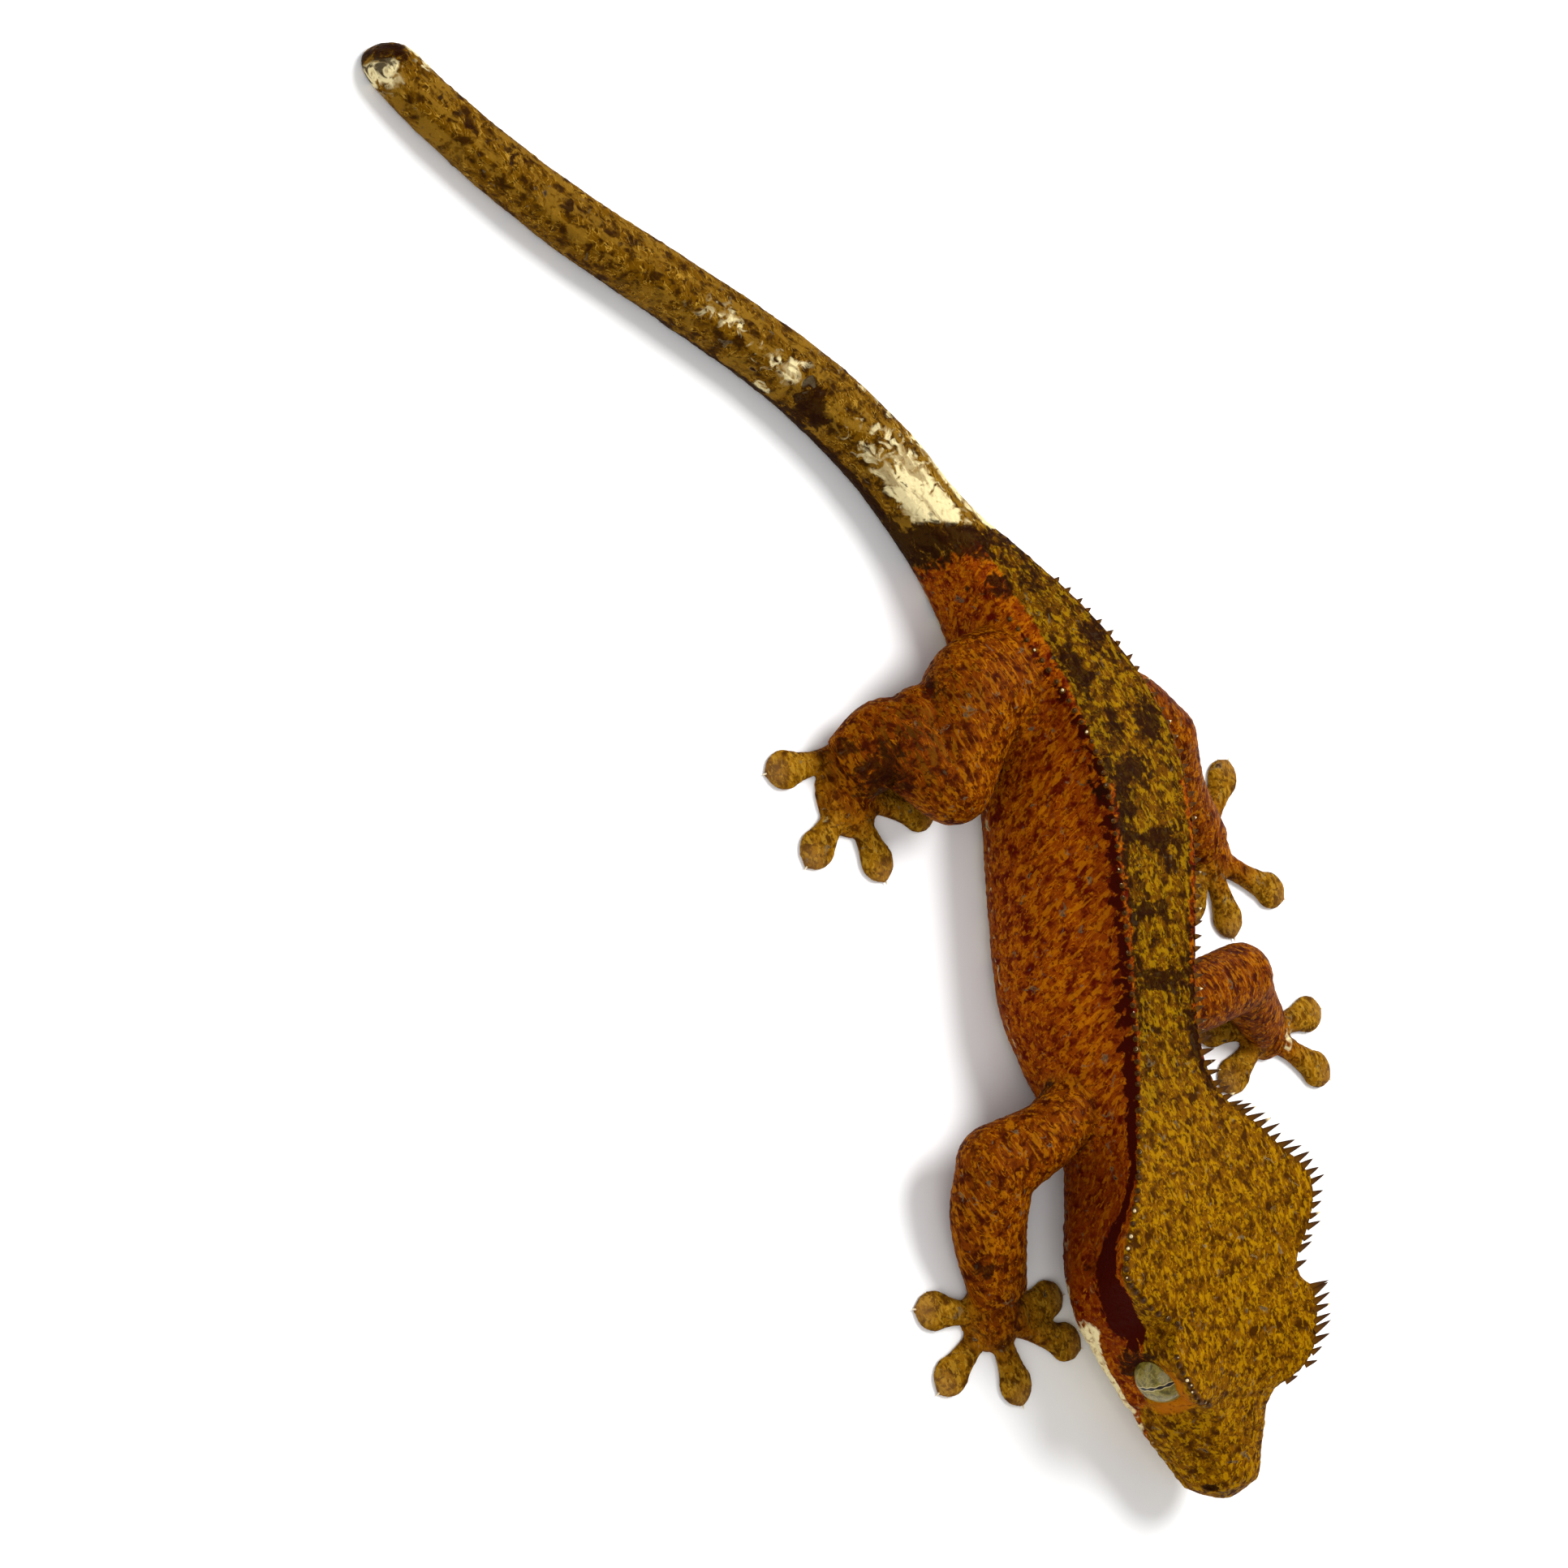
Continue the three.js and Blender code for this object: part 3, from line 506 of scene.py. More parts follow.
points = coordinates(skin.data)
place = Places(points)
to_trunk = shell_distance(points, [trunk])
to_leg = shell_distance(points, legs)
to_foot = shell_distance(points, feet)
print("points on legs:", int((to_leg < to_trunk).sum()), "on feet:", int((to_foot < to_leg).sum()))

# %% [markdown]
# ## Flesh that flows
#
# Where a leg leaves the trunk, or a toe its palm, real skin runs over in a soft web. The crease
# that the melt left there is relaxed: points move towards their neighbours' middle, many times
# near a join and only a few times elsewhere.

# %% Relax the joins
edges = np.empty(len(skin.data.edges) * 2, np.int32)
skin.data.edges.foreach_get("vertices", edges)
edges = edges.reshape(-1, 2)
neighbours = np.bincount(edges.ravel(), minlength=len(points))
leg_join = step(2.6, 0.6, np.maximum(to_trunk, to_leg))
foot_join = step(1.5, 0.4, np.maximum(to_leg, to_foot))
palm_join = step(1.2, 0.3, to_foot) * step(1.5, 2.2, points[:, 2]) * 0.4
join = np.clip(np.maximum(np.maximum(leg_join, foot_join), palm_join), 0, 1)


def relax(points, weight, times):
    first, second = edges.T
    for _ in range(times):
        for axis in range(3):
            value = points[:, axis]
            total = np.bincount(first, value[second], len(points))
            total += np.bincount(second, value[first], len(points))
            points[:, axis] = value + weight * (total / neighbours - value)
    return points


points = relax(points, join, 34)
points = relax(points, 0.5, 4)
skin.data.vertices.foreach_set("co", points.astype(np.float32).ravel())
skin.data.update()
print("joins relaxed")

# %% [markdown]
# ## Folds, lips and scales in the flesh
#
# The skin is now pushed in and out along its own normals. A groove makes the mouth, with a row of
# lip scales above and below. Pits make the nostrils and the ears. Creases cross the thighs, the
# shoulders and the throat, and low granules, larger on the head, give the skin its grain. Last, the
# skin between the lids sinks behind each eyeball, which leaves the eyes open.

# %% Push the skin in and out
MOUTH_END = 25.5
MOUTH_LINE = ([0, 3, 12, 20, MOUTH_END], [[7.5], [7.1], [6.9], [7.3], [8.6]])
LIP = {"groove": 0.34, "swell": 0.12, "notch": 0.10, "edge": 0.07, "scale": 1.35}
NOSTRIL = {"along": 2.2, "height": 9.9, "rim": 0.16, "depth": 0.75}
EAR = {"along": 33.5, "height": 11.6, "radius": 1.5, "rim": 0.16, "depth": 1.05}
GRANULE, FINE_GRANULE = 1.25, 0.8  # mean spacing
BEHIND_EYEBALL = 2.7  # how near an eye's centre the flesh in front of it sinks

# creases: centre of the patch, direction across the creases, their spacing, depth and reach
CREASES = [
    ((-13.5, 7.5, 10.5), (0.9, 0.5, 0.2), 0.95, 0.16, 5.0),
    ((-15.5, -47.5, 9.0), (0.4, 0.9, 0.0), 1.1, 0.14, 4.0),
    ((-10.5, -43.0, 8.0), (0.2, 1.0, 0.1), 1.3, 0.22, 4.5),
    ((10.5, -38.0, 8.0), (-0.2, 1.0, 0.1), 1.3, 0.18, 4.5),
    ((-20.3, -56.5, 5.5), (0.1, 1.0, 0.3), 1.0, 0.10, 4.0),
    ((-19.5, 1.5, 6.0), (0.9, -0.2, 0.3), 0.95, 0.12, 4.0),
    ((15.5, -2.5, 9.5), (0.9, -0.4, 0.2), 1.0, 0.12, 4.5),
    ((-9.0, -50.0, 7.0), (0.3, 1.0, 0.3), 1.6, 0.14, 5.0),
]


# large primes mix a cell's number into luck that looks random and is the same at each run
CELL_PRIMES = (73856093, 19349663, 83492791)
JITTER_PRIMES = (2654435761, 40503, 2246822519)


def scatter(points, cell, seed):
    """Distance to the nearest of centres scattered one to a cell, and a lucky number of that centre."""
    base = np.floor(points / cell).astype(np.int64)
    best, luck = np.full(len(points), 1e9), np.zeros(len(points))
    for shift in np.ndindex(3, 3, 3):
        corner = base + np.array(shift) - 1
        mixed = corner @ np.array(CELL_PRIMES) + seed * 7919
        jitter = np.stack([((mixed * prime) >> 9) & 1023 for prime in JITTER_PRIMES], axis=1) / 1023
        gap = np.linalg.norm(points - (corner + 0.15 + 0.7 * jitter) * cell, axis=1)
        closer = gap < best
        best = np.where(closer, gap, best)
        luck = np.where(closer, jitter[:, 0], luck)
    return best, luck


def waves(points, size, seed):
    """Slow random swells between about -1 and 1."""
    offset = Vector((seed * 13.7, seed * 5.1, seed * 9.3))
    return np.array([noise.noise(Vector(p) / size + offset) for p in points])


def creases(points):
    made = np.zeros(len(points))
    swell = waves(points, 2.5, 4)
    for centre, across, spacing, depth, reach in CREASES:
        offset = points - np.array(centre)
        across = np.array(across) / np.linalg.norm(across)
        phase = (offset @ across) / spacing + swell * 0.8
        line = 1 - np.abs(np.sin(phase * np.pi)) ** 0.6
        made -= depth * line * np.exp(-((np.linalg.norm(offset, axis=1) / reach) ** 4))
    return made


def from_nostril(place):
    """The distance from the nearer nostril, seen from the side."""
    far = 9 * (np.abs(place.left) < 1.0)
    return np.hypot(place.along - NOSTRIL["along"], place.z - NOSTRIL["height"]) + far


def around_eye(points, side):
    """Distance from an eye's centre, angle from its line of sight, and the direction to each point."""
    centre, look, _, _ = eye_frame(side)
    offset = points - centre
    reach = np.linalg.norm(offset, axis=1)
    facing = np.degrees(np.arccos(np.clip(offset @ look / reach, -1, 1)))
    return reach, facing, offset / reach[:, None]


normals = coordinates(skin.data, "vertex_normals", "vector")
place = Places(points)
head = step(52, 44, place.along) * step(4.0, 2.0, to_trunk)
trunkward = step(1.6, 0.4, to_trunk)
line = smooth(*MOUTH_LINE, place.along)[:, 0]
upright = step(-0.2, 0.25, 1 - np.abs(normals[:, 2]))
on_lips = step(MOUTH_END + 1, MOUTH_END - 1.5, place.along) * upright * trunkward
height = points[:, 2] - line
push = -LIP["groove"] * hill(height, 0, 0.30) * on_lips
push += LIP["swell"] * (hill(height, 1.0, 0.7) + 0.7 * hill(height, -0.9, 0.6)) * on_lips
scale_edge = np.abs(np.sin(np.pi * place.along / LIP["scale"] + 0.5 * (height > 0)))
lip_rows = hill(height, 1.0, 0.75) + hill(height, -0.9, 0.7)
push -= LIP["notch"] * step(0.22, 0.0, scale_edge) * lip_rows * on_lips
push -= LIP["edge"] * hill(height, 1.95, 0.2) * on_lips

nostril = from_nostril(place)
push += NOSTRIL["rim"] * hill(nostril, 0.75, 0.3) - NOSTRIL["depth"] * hill(nostril, 0, 0.36)
ear = np.hypot((place.along - EAR["along"]) / 1.5, points[:, 2] - EAR["height"]) + 9 * (to_trunk > 1.5)
push += EAR["rim"] * hill(ear, EAR["radius"] * 0.95, 0.35) - EAR["depth"] * hill(ear, 0, EAR["radius"] * 0.55)

push += creases(points)
push += 0.10 * waves(points, 3.2, 1) * trunkward
coarse, luck = scatter(points, GRANULE, 3)
fine, _ = scatter(points, FINE_GRANULE, 8)
granules = np.maximum(0, 1 - (coarse / 0.55) ** 2) * (0.06 + 0.10 * luck * head)
granules += 0.05 * np.maximum(0, 1 - (fine / 0.36) ** 2)
for side in (1, -1):
    granules *= step(3.9, 4.6, around_eye(points, side)[0])
push += granules * step(0.2, 1.0, points[:, 2])
points = points + normals * (push * step(0.0, 0.5, points[:, 2]))[:, None]

# the flesh in front of each eye sinks behind the eyeball, so that the lids stand open
for side in (1, -1):
    _, _, front, rise = eye_frame(side)
    reach, facing, way = around_eye(points, side)
    around = np.arctan2(way @ rise, way @ front)
    open_low, open_high = LID_FOLDS[0][:2]
    opening = open_low + (open_high - open_low) * (0.5 + 0.5 * np.sin(around))
    sunk = step(opening - 4, opening - 8, facing) * step(5.0, 4.3, reach)
    points += way * (sunk * (np.minimum(reach, BEHIND_EYEBALL) - reach))[:, None]
points[:, 2] = np.maximum(0, points[:, 2])
skin.data.vertices.foreach_set("co", points.astype(np.float32).ravel())
skin.data.update()
print("deepest push:", round(push.min(), 2), "mm, highest:", round(push.max(), 2), "mm")

# %% [markdown]
# ## A lighter mesh
#
# The melt made every face the same size. A collapse decimation spends them where the skin turns,
# on the head, the toes and the folds, and leaves the smooth belly plain.

# %% Thin out the skin
SKIN_FACES = 192000
thin = skin.modifiers.new("thin", "DECIMATE")
thin.ratio = SKIN_FACES / (2 * len(skin.data.polygons))
applied(skin)
for polygon in skin.data.polygons:
    polygon.use_smooth = True
points = coordinates(skin.data)
place = Places(points)
to_trunk = shell_distance(points, [trunk])
to_leg = shell_distance(points, legs)
to_foot = shell_distance(points, feet)
on_head = int((place.along[to_trunk < 1] < 48).sum())
print("skin:", len(skin.data.polygons), "faces,", on_head, "points on the head")

# %% [markdown]
# ## Where the colours lie
#
# The animal's pattern is olive along the back and the top of the head, orange brown on the flanks
# and legs, with a dark red strip under each crest, dark bars over the back, a cream patch and a
# near-black band at the tail's root, and cream lips. Each colour gets a mask on the skin's points.
# The edges of the masks are left soft here. The material breaks them up finely.
# Some masks also hold painted light: painted shade in the bends and creases of the legs, in the nostrils,
# along the tail's low side and beside the crests behind the head, and painted highlight along the rims of the
# right shank and foot.

# %% Mask the markings
# bars and blotches: distance along the spine, offset to the left, half length, half width, strength
BLOTCHES = {
    "dark": [
        (77.0, -0.6, 1.2, 4.6, 0.95), (69.3, -2.4, 1.0, 2.8, 0.95), (61.3, 0.2, 1.1, 4.2, 0.95),
        (110.4, 1.4, 1.6, 1.3, 0.8), (111.8, -2.7, 1.5, 1.3, 0.8), (101.4, 2.8, 1.3, 2.4, 0.85),
        (99.2, -2.2, 2.4, 1.5, 0.95), (90.2, 2.9, 2.3, 1.8, 0.95), (91.9, -1.9, 1.5, 1.2, 0.8),
        (85.4, -2.3, 2.0, 3.0, 1.0), (82.0, -4.2, 3.0, 1.6, 0.9), (92.8, 3.3, 1.2, 1.2, 0.6),
        (95.5, -3.6, 1.3, 1.3, 0.6), (73.0, 1.5, 0.9, 1.3, 0.55), (66.0, -1.0, 0.8, 1.2, 0.5),
        (31.7, 7.0, 0.6, 5.0, 0.7), (32.9, -11.0, 1.2, 1.4, 0.55), (32.7, -6.5, 1.1, 1.6, 0.55),
        (28.0, -8.0, 0.8, 1.0, 0.45), (143.4, -2.4, 1.7, 1.5, 1.0), (141.2, -3.3, 1.8, 1.0, 1.0),
        (205.5, 0.3, 1.6, 2.0, 0.95), (172.0, 0.5, 1.0, 0.9, 0.55), (163.0, 0.2, 1.2, 0.8, 0.55),
        (181.0, -0.3, 1.0, 0.8, 0.55), (188.0, 0.6, 1.1, 0.9, 0.55), (196.0, -0.2, 2.6, 0.7, 0.6),
    ],
    "cream": [
        (205.2, -2.0, 2.6, 1.0, 0.85), (202.6, 2.2, 2.0, 0.8, 0.8), (148.5, -1.8, 3.5, 1.2, 0.62),
        (157.0, -1.2, 3.0, 1.0, 0.5), (136.0, 2.6, 7.0, 0.6, 0.36),
    ],
}


# patches on the legs: place, radius, strength. The dark ones are painted shade in the hollows, bends and
# creases of the legs and beside them
PATCHES = {
    # painted shade where the legs bend and fold: armpits, wrist, elbow and the hollow between the right thigh
    # and shank
    "dark": [
        ((-20.8, -1.4, 6.6), 4.6, 0.8), ((-16.6, -3.2, 8.6), 2.8, 0.62), ((-24.4, 2.4, 5.1), 1.7, 0.85),
        ((-23.5, -58.8, 5.9), 1.4, 0.75), ((-11.6, -41.4, 9.0), 1.8, 0.8),
        ((-11.0, -47.6, 9.0), 1.8, 0.6), ((-13.8, 6.9, 11.3), 2.6, 0.45),
        ((25.0, -39.5, 8.0), 1.5, 0.55), ((-14.5, -62.0, 3.0), 2.2, 0.5),
    ],
    # the first two cream patches are painted highlight along the rims of the right shank and foot
    "cream": [
        ((-25.5, 4.6, 4.2), 1.4, 0.62), ((-27.2, -4.0, 1.8), 1.2, 0.6), ((-12.6, -40.0, 9.0), 0.9, 0.6),
        ((35.5, -45.5, 1.6), 1.6, 0.5),
    ],
    # painted shade: where dark strokes lie in the creases of the legs
    "crease_shade": [
        ((-18.5, 1.0, 8.5), 5.6, 1.0), ((-12.0, 5.0, 11.5), 4.6, 0.55), ((18.0, 0.0, 8.0), 5.0, 0.8),
        ((-14.5, -50.0, 9.0), 3.4, 0.45),
    ],
}


def spots(kind, place):
    made = np.zeros(len(place["along"]))
    for along, left, long, wide, strength in BLOTCHES[kind]:
        reach = np.hypot((place["along"] - along) / long, (place["left"] - left) / wide)
        made = np.maximum(made, strength * step(1.9, 0.3, reach))
    return made


def patches(kind, points):
    made = np.zeros(len(points))
    for centre, radius, strength in PATCHES[kind]:
        reach = np.linalg.norm(points - centre, axis=1) / radius
        made = np.maximum(made, strength * step(1.5, 0.2, reach))
    return made


# a slow noise pulls the blotches out of round
PULL, PULL_SIZE = 1.3, 1.9
warped = {
    "along": place.along + PULL * waves(points, PULL_SIZE, 5),
    "left": place.left + PULL * waves(points, PULL_SIZE, 6),
}


eye_ring = np.zeros(len(points))
eye_back = np.zeros(len(points))
for side in (1, -1):
    _, _, front, rise = eye_frame(side)
    reach, facing, way = around_eye(points, side)
    lid_side = step(-0.35, 0.45, way @ (0.75 * rise + 0.65 * front))
    eye_ring = np.maximum(eye_ring, step(5.5, 4.7, reach) * step(112, 98, facing) * lid_side)
    rear = step(-0.1, -0.5, way @ front) * step(0.5, 0.1, way @ rise)
    eye_back = np.maximum(eye_back, step(6.5, 4.5, reach) * step(120, 90, facing) * rear)

on_trunk = step(-0.3, 0.5, np.minimum(to_leg, to_foot) - to_trunk)
along, left, margin = place.along, place.left, place.margin
right_side = step(0.3, -0.3, left)

# the olive reaches from the crest down to the eye and over the snout. On the pelvis it leaves the
# right crest and closes in on the midline
band_at = [0, 12, 19, 22, 26, 29, 33, 38, 60, 70]
band = np.interp(along, band_at, [9, 9, 7, 4.6, 4.0, 1.8, 0.8, 0.2, -0.6, -0.9])
pelvis = np.interp(along, [84, 89, 96, 103, 110, 117], [0, 0.1, -0.8, -1.6, -2.4, -3.4])
band = np.where(along > 84, pelvis * (left < 0), band)
olive = step(0.9, -0.9, margin - band) * on_trunk * step(121, 117, along)

# behind the head the olive is darker, and darker still beside the crests, where it is painted shade
back = np.clip(step(40, 56, along) * (0.6 + 0.4 * hill(margin, -0.5, 2.2)), 0, 1)

# the dark red strip under the crest, widest as a wedge behind the eye, with small waves on the trunk
low_at = [14, 21, 25, 29, 33, 36, 39, 42, 56, 66, 90, 112]
strip_low = np.interp(along, low_at, [0, 6.4, 7.7, 7.6, 7.2, 5.2, 2.6, 1.7, 1.9, 1.6, 1.2, 0.5])
strip_low += 0.55 * np.sin(along * 2.7 + waves(points, 3.0, 7) * 3) * step(40, 60, along)
high_at = [14, 21, 26, 29, 33, 36, 38, 42, 50]
strip_high = np.interp(along, high_at, [0, 4.6, 3.4, 1.8, 2.2, 2.6, 1.5, 0.4, -0.3])
strip = step(strip_low + 0.9, strip_low - 0.9, margin) * step(strip_high - 0.6, strip_high + 0.7, margin)
strip *= step(18, 24, along) * step(112, 104, along) * on_trunk * np.interp(along, [45, 60], [1, 0.72])

# dark: the back's edges, bars and blotches and the band of the tail's root, with painted shade on the tail's
# low side, in the nostrils and in the patches on the legs
edge = hill(margin, -1.0, 0.9) * step(56, 62, along) * step(100, 84, along) * (left < 0)
edge = edge + hill(margin, -0.8, 1.0) * step(43, 48, along) * step(80, 66, along) * (left > 0)
root_shift = along + np.interp(left, [-4, -1, 1.5, 3.5], [-2.6, 0.2, 2.6, 4.6])
root_band = step(111.0, 118.6, root_shift) * step(121.4, 119.4, root_shift)
root_band *= np.interp(left, [-2, 0, 2], [1, 0.85, 0.6])
# painted shade on the low right side of the tail, where it turns down towards the floor
tail_shade_top = np.interp(along, [118, 127, 142], [2.2, 3.3, 3.7])
tail_underside_shade = step(tail_shade_top, tail_shade_top + 1.2, margin) * right_side
tail_underside_shade *= step(117, 122, along) * step(205, 150, along)
dark = np.maximum.reduce([
    0.72 * np.clip(edge, 0, 1) * on_trunk, spots("dark", warped) * on_trunk, root_band * on_trunk,
    # the nostril term is painted shade in the nostril pits
    tail_underside_shade * on_trunk, 0.75 * eye_back, step(1.0, 0.4, from_nostril(place)), patches("dark", points),
])

# cream: the tail's root, lips, throat, belly, and dots along the fold low on the flank
tail_root = step(119.4, 121.4, root_shift) * step(142, 124, along) * step(2.4, 0.8, margin) * on_trunk
tail_root *= 0.9 - 0.7 * hill(left, 1.5, 1.0)
lip_height = place.z - smooth(*MOUTH_LINE, along)[:, 0]
lip_top = np.interp(along, [3, 8, 14, 20, 25], [-0.5, -0.3, 0.0, 0.5, 1.6])
lip = step(lip_top + 0.6, lip_top - 0.3, lip_height) * step(27.5, 24.5, along) * step(1.0, 4.0, along)
lip *= on_trunk * np.interp(along, [4, 9, 14, 19], [0.1, 0.4, 0.8, 1])
throat = step(-0.5, -3.2, lip_height) * step(42, 26, along) * on_trunk
belly = step(2.4, 0.8, place.z) * step(125, 110, along) * step(26, 34, along) * on_trunk
fold_dots = hill(place.z, 4.3, 0.5) * step(52, 58, along) * step(88, 80, along) * on_trunk
cream = np.maximum.reduce([
    tail_root, 0.8 * lip, 0.55 * throat, spots("cream", warped) * on_trunk,
    0.5 * belly, 0.3 * fold_dots, patches("cream", points),
])

tail = step(115.5, 119.5, along) * on_trunk
pad = np.zeros(len(points))
toe_tip = np.zeros(len(points))
for limb in LIMBS.values():
    for tip in limb["toes"]:
        reach = np.hypot(points[:, 0] - tip[0], points[:, 1] - tip[1])
        toe_tip = np.maximum(toe_tip, step(3.6, 0.6, reach) * (points[:, 2] < 2.5))
        pad = np.maximum(pad, step(10.0, 4.5, reach) * (points[:, 2] < 2.9) * step(1.2, 0.5, to_foot))
cheek = on_trunk * step(1.0, 3.0, margin - band) * step(14, 24, along) * step(50, 42, along)
red = on_trunk * step(0.4, 1.6, margin) * step(44, 58, along) * step(7, 2, margin) * step(112, 96, along)
red = np.maximum(0.5 * red, 0.6 * cheek)

# how deep the dark paint lies: thinner on the head's few spots and on the legs
depth = 0.9 - 0.5 * step(22, 26, along) * step(46, 40, along) * step(1.0, -0.5, margin) * on_trunk
depth -= 0.12 * (1 - on_trunk)

masks = {
    "olive": olive, "back": back, "dark": dark, "depth": depth, "cream": cream, "tail": tail,
    "pad": pad * (1 - on_trunk), "toe_tip": toe_tip, "leg": 1 - on_trunk,
    "crease_shade": patches("crease_shade", points), "red": red, "strip": strip, "lid": eye_ring,
    "spine_run": along / 10, "around": left / 10,
}


def store(mesh, values):
    for name, value in values.items():
        made = mesh.attributes.new(name, "FLOAT", "POINT")
        made.data.foreach_set("value", np.asarray(value, np.float32))


store(skin.data, masks)
print("masks:", ", ".join(masks))

# %% [markdown]
# ## The skin's paint
#
# A model painter lays a ground colour, stipples darker and lighter tones over it, and only then
# paints the marks with broken edges. The material does the same with noise in the object's own
# coordinates, at the sizes of a real gecko's speckle and of the fine wavy yellow lines over it.

# %% Helpers that build shader nodes
MM = 1000  # noise scales are written as waves per millimetre


def node(tree, kind, inputs=None, **settings):
    made = tree.nodes.new(kind)
    for key, value in settings.items():
        setattr(made, key, value)
    for key, value in (inputs or {}).items():
        if isinstance(value, bpy.types.NodeSocket):
            tree.links.new(value, made.inputs[key])
        else:
            made.inputs[key].default_value = value
    return made


def reckon(tree, how, *values):
    """A maths node, such as ADD or MULTIPLY, with its values."""
    return node(tree, "ShaderNodeMath", dict(enumerate(values)), operation=how).outputs[0]


def colour(red, green, blue):
    """A colour as it looks on a screen, from 0 to 255, turned into light."""
    light = [v / 255 / 12.92 if v <= 10 else ((v / 255 + 0.055) / 1.055) ** 2.4 for v in (red, green, blue)]
    return (*light, 1.0)


class Paint:
    """A material's node tree, with short words for the steps that a painter repeats."""

    def __init__(self, name):
        self.material = bpy.data.materials.new(name)
        self.material.use_nodes = True
        self.tree = self.material.node_tree
        self.shader = next(n for n in self.tree.nodes if n.type == "BSDF_PRINCIPLED")
        self.place = node(self.tree, "ShaderNodeTexCoord").outputs["Object"]

    def mask(self, name):
        return node(self.tree, "ShaderNodeAttribute", attribute_name=name).outputs["Fac"]

    def noise(self, per_mm, detail=2.0, warp=0.0, place=None):
        where = self.place if place is None else place
        settings = {"Vector": where, "Scale": per_mm * MM, "Detail": detail, "Distortion": warp}
        return node(self.tree, "ShaderNodeTexNoise", settings).outputs["Fac"]

    def plus(self, first, second):
        return reckon(self.tree, "ADD", first, second)

    def times(self, first, second):
        return reckon(self.tree, "MULTIPLY", first, second)

    def step(self, low, high, value):
        inputs = {"Value": value, "From Min": low, "From Max": high}
        made = node(self.tree, "ShaderNodeMapRange", inputs, interpolation_type="SMOOTHSTEP")
        return made.outputs["Result"]

    def broken(self, mask, grain, low, high, roughness):
        """A mask whose soft edge is broken up by noise into fingers and specks."""
        wobble = self.times(self.plus(grain, -0.5), roughness)
        return self.step(low, high, self.plus(mask, wobble))

    def lines(self, grain, width):
        """Thin wandering lines, where a noise crosses its middle."""
        return self.step(width, 0.0, reckon(self.tree, "ABSOLUTE", self.plus(grain, -0.5)))

    def grain_along(self, direction, stretch):
        """The object's coordinates drawn out along a direction, so that a noise read there makes strokes."""
        ahead = Vector(direction).normalized()
        beside = ahead.cross((0, 0, 1)).normalized()
        over = beside.cross(ahead)
        parts = {}
        for key, axis in enumerate((ahead / stretch, beside, over)):
            inputs = {0: self.place, 1: tuple(axis)}
            made = node(self.tree, "ShaderNodeVectorMath", inputs, operation="DOT_PRODUCT")
            parts[key] = made.outputs["Value"]
        return node(self.tree, "ShaderNodeCombineXYZ", parts).outputs[0]

    def over(self, below, above, factor):
        made = node(self.tree, "ShaderNodeMix", data_type="RGBA")
        for key, value in ((0, factor), (6, below), (7, above)):
            if isinstance(value, bpy.types.NodeSocket):
                self.tree.links.new(value, made.inputs[key])
            else:
                made.inputs[key].default_value = value
        return made.outputs[2]

    def finish(self, base, roughness, specular=0.3, coat=0.0, bump=None):
        self.tree.links.new(base, self.shader.inputs["Base Color"])
        self.shader.inputs["Roughness"].default_value = roughness
        self.shader.inputs["Specular IOR Level"].default_value = specular
        self.shader.inputs["Coat Weight"].default_value = coat
        self.shader.inputs["Coat Roughness"].default_value = 0.04
        if bump is not None:
            self.tree.links.new(bump, self.shader.inputs["Normal"])
        return self.material


# %% [markdown]
# ### Grounds, marks and scales
#
# The grounds come first: orange brown on flanks and legs, olive, tail brown and toe pad. Then the
# marks: red, cream, the dark red strip, dark, painted shade in the leg creases, lids and toe tips.
# Cream and dark also carry painted highlight and painted shade. The fine scales are bump only, two
# sizes of rounded cells, too small to be worth real mesh.

# %% Paint the skin
GROUND = {
    "flank": [(72, 10, 1), (120, 50, 1), (166, 96, 2)],
    "olive": [(58, 29, 1), (106, 64, 1), (166, 120, 3)],
    "back": [(34, 15, 1), (80, 44, 1), (144, 108, 4)],
    "leg": [(56, 14, 1), (102, 44, 1), (160, 96, 4)],
    "tail": [(46, 24, 1), (96, 62, 2), (170, 130, 44)],
    "pad": [(72, 42, 2), (126, 86, 8), (172, 130, 34)],
}
# DARK is the tone of the dark marks and also of the painted shade; CREAM that of the pale marks and also of a
# painted highlight
RED, STRIP, DARK, CREAM = (88, 22, 1), (50, 6, 1), (30, 9, 2), (226, 210, 158)
LID, LID_SPECK, TOE_TIP = (158, 88, 4), (90, 44, 4), (134, 96, 56)
# the lie of the strokes: a direction, and how many times longer than wide they are
STROKES = {
    "flank": ((-0.67, -0.51, -0.52), 3.0),
    "back": ((0.2, -0.95, 0.1), 2.0),
    "leg": ((0.26, -0.94, 0.20), 4.0),
}
# noises: waves per millimetre, detail, warp
MOTTLE, SPECK, BREAKUP = (0.75, 3.0, 0.3), (1.5, 2.0, 0.4), (0.8, 5.0, 0.8)
WANDER, DASH, STREAK = (1.25, 2.0, 1.1), (1.7, 2.0, 0.3), (0.8, 3.0, 0.6)
SCALE_CELLS = (2.1, 4.2)

paint = Paint("gecko_skin")
mottle, speck, breakup = (paint.noise(*grain) for grain in (MOTTLE, SPECK, BREAKUP))
strokes, dashes = {}, {}
for name, (direction, stretch) in STROKES.items():
    place_along = paint.grain_along(direction, stretch)
    strokes[name] = paint.lines(paint.noise(*WANDER, place=place_along), 0.035)
    dashes[name] = paint.noise(*DASH, place=place_along)
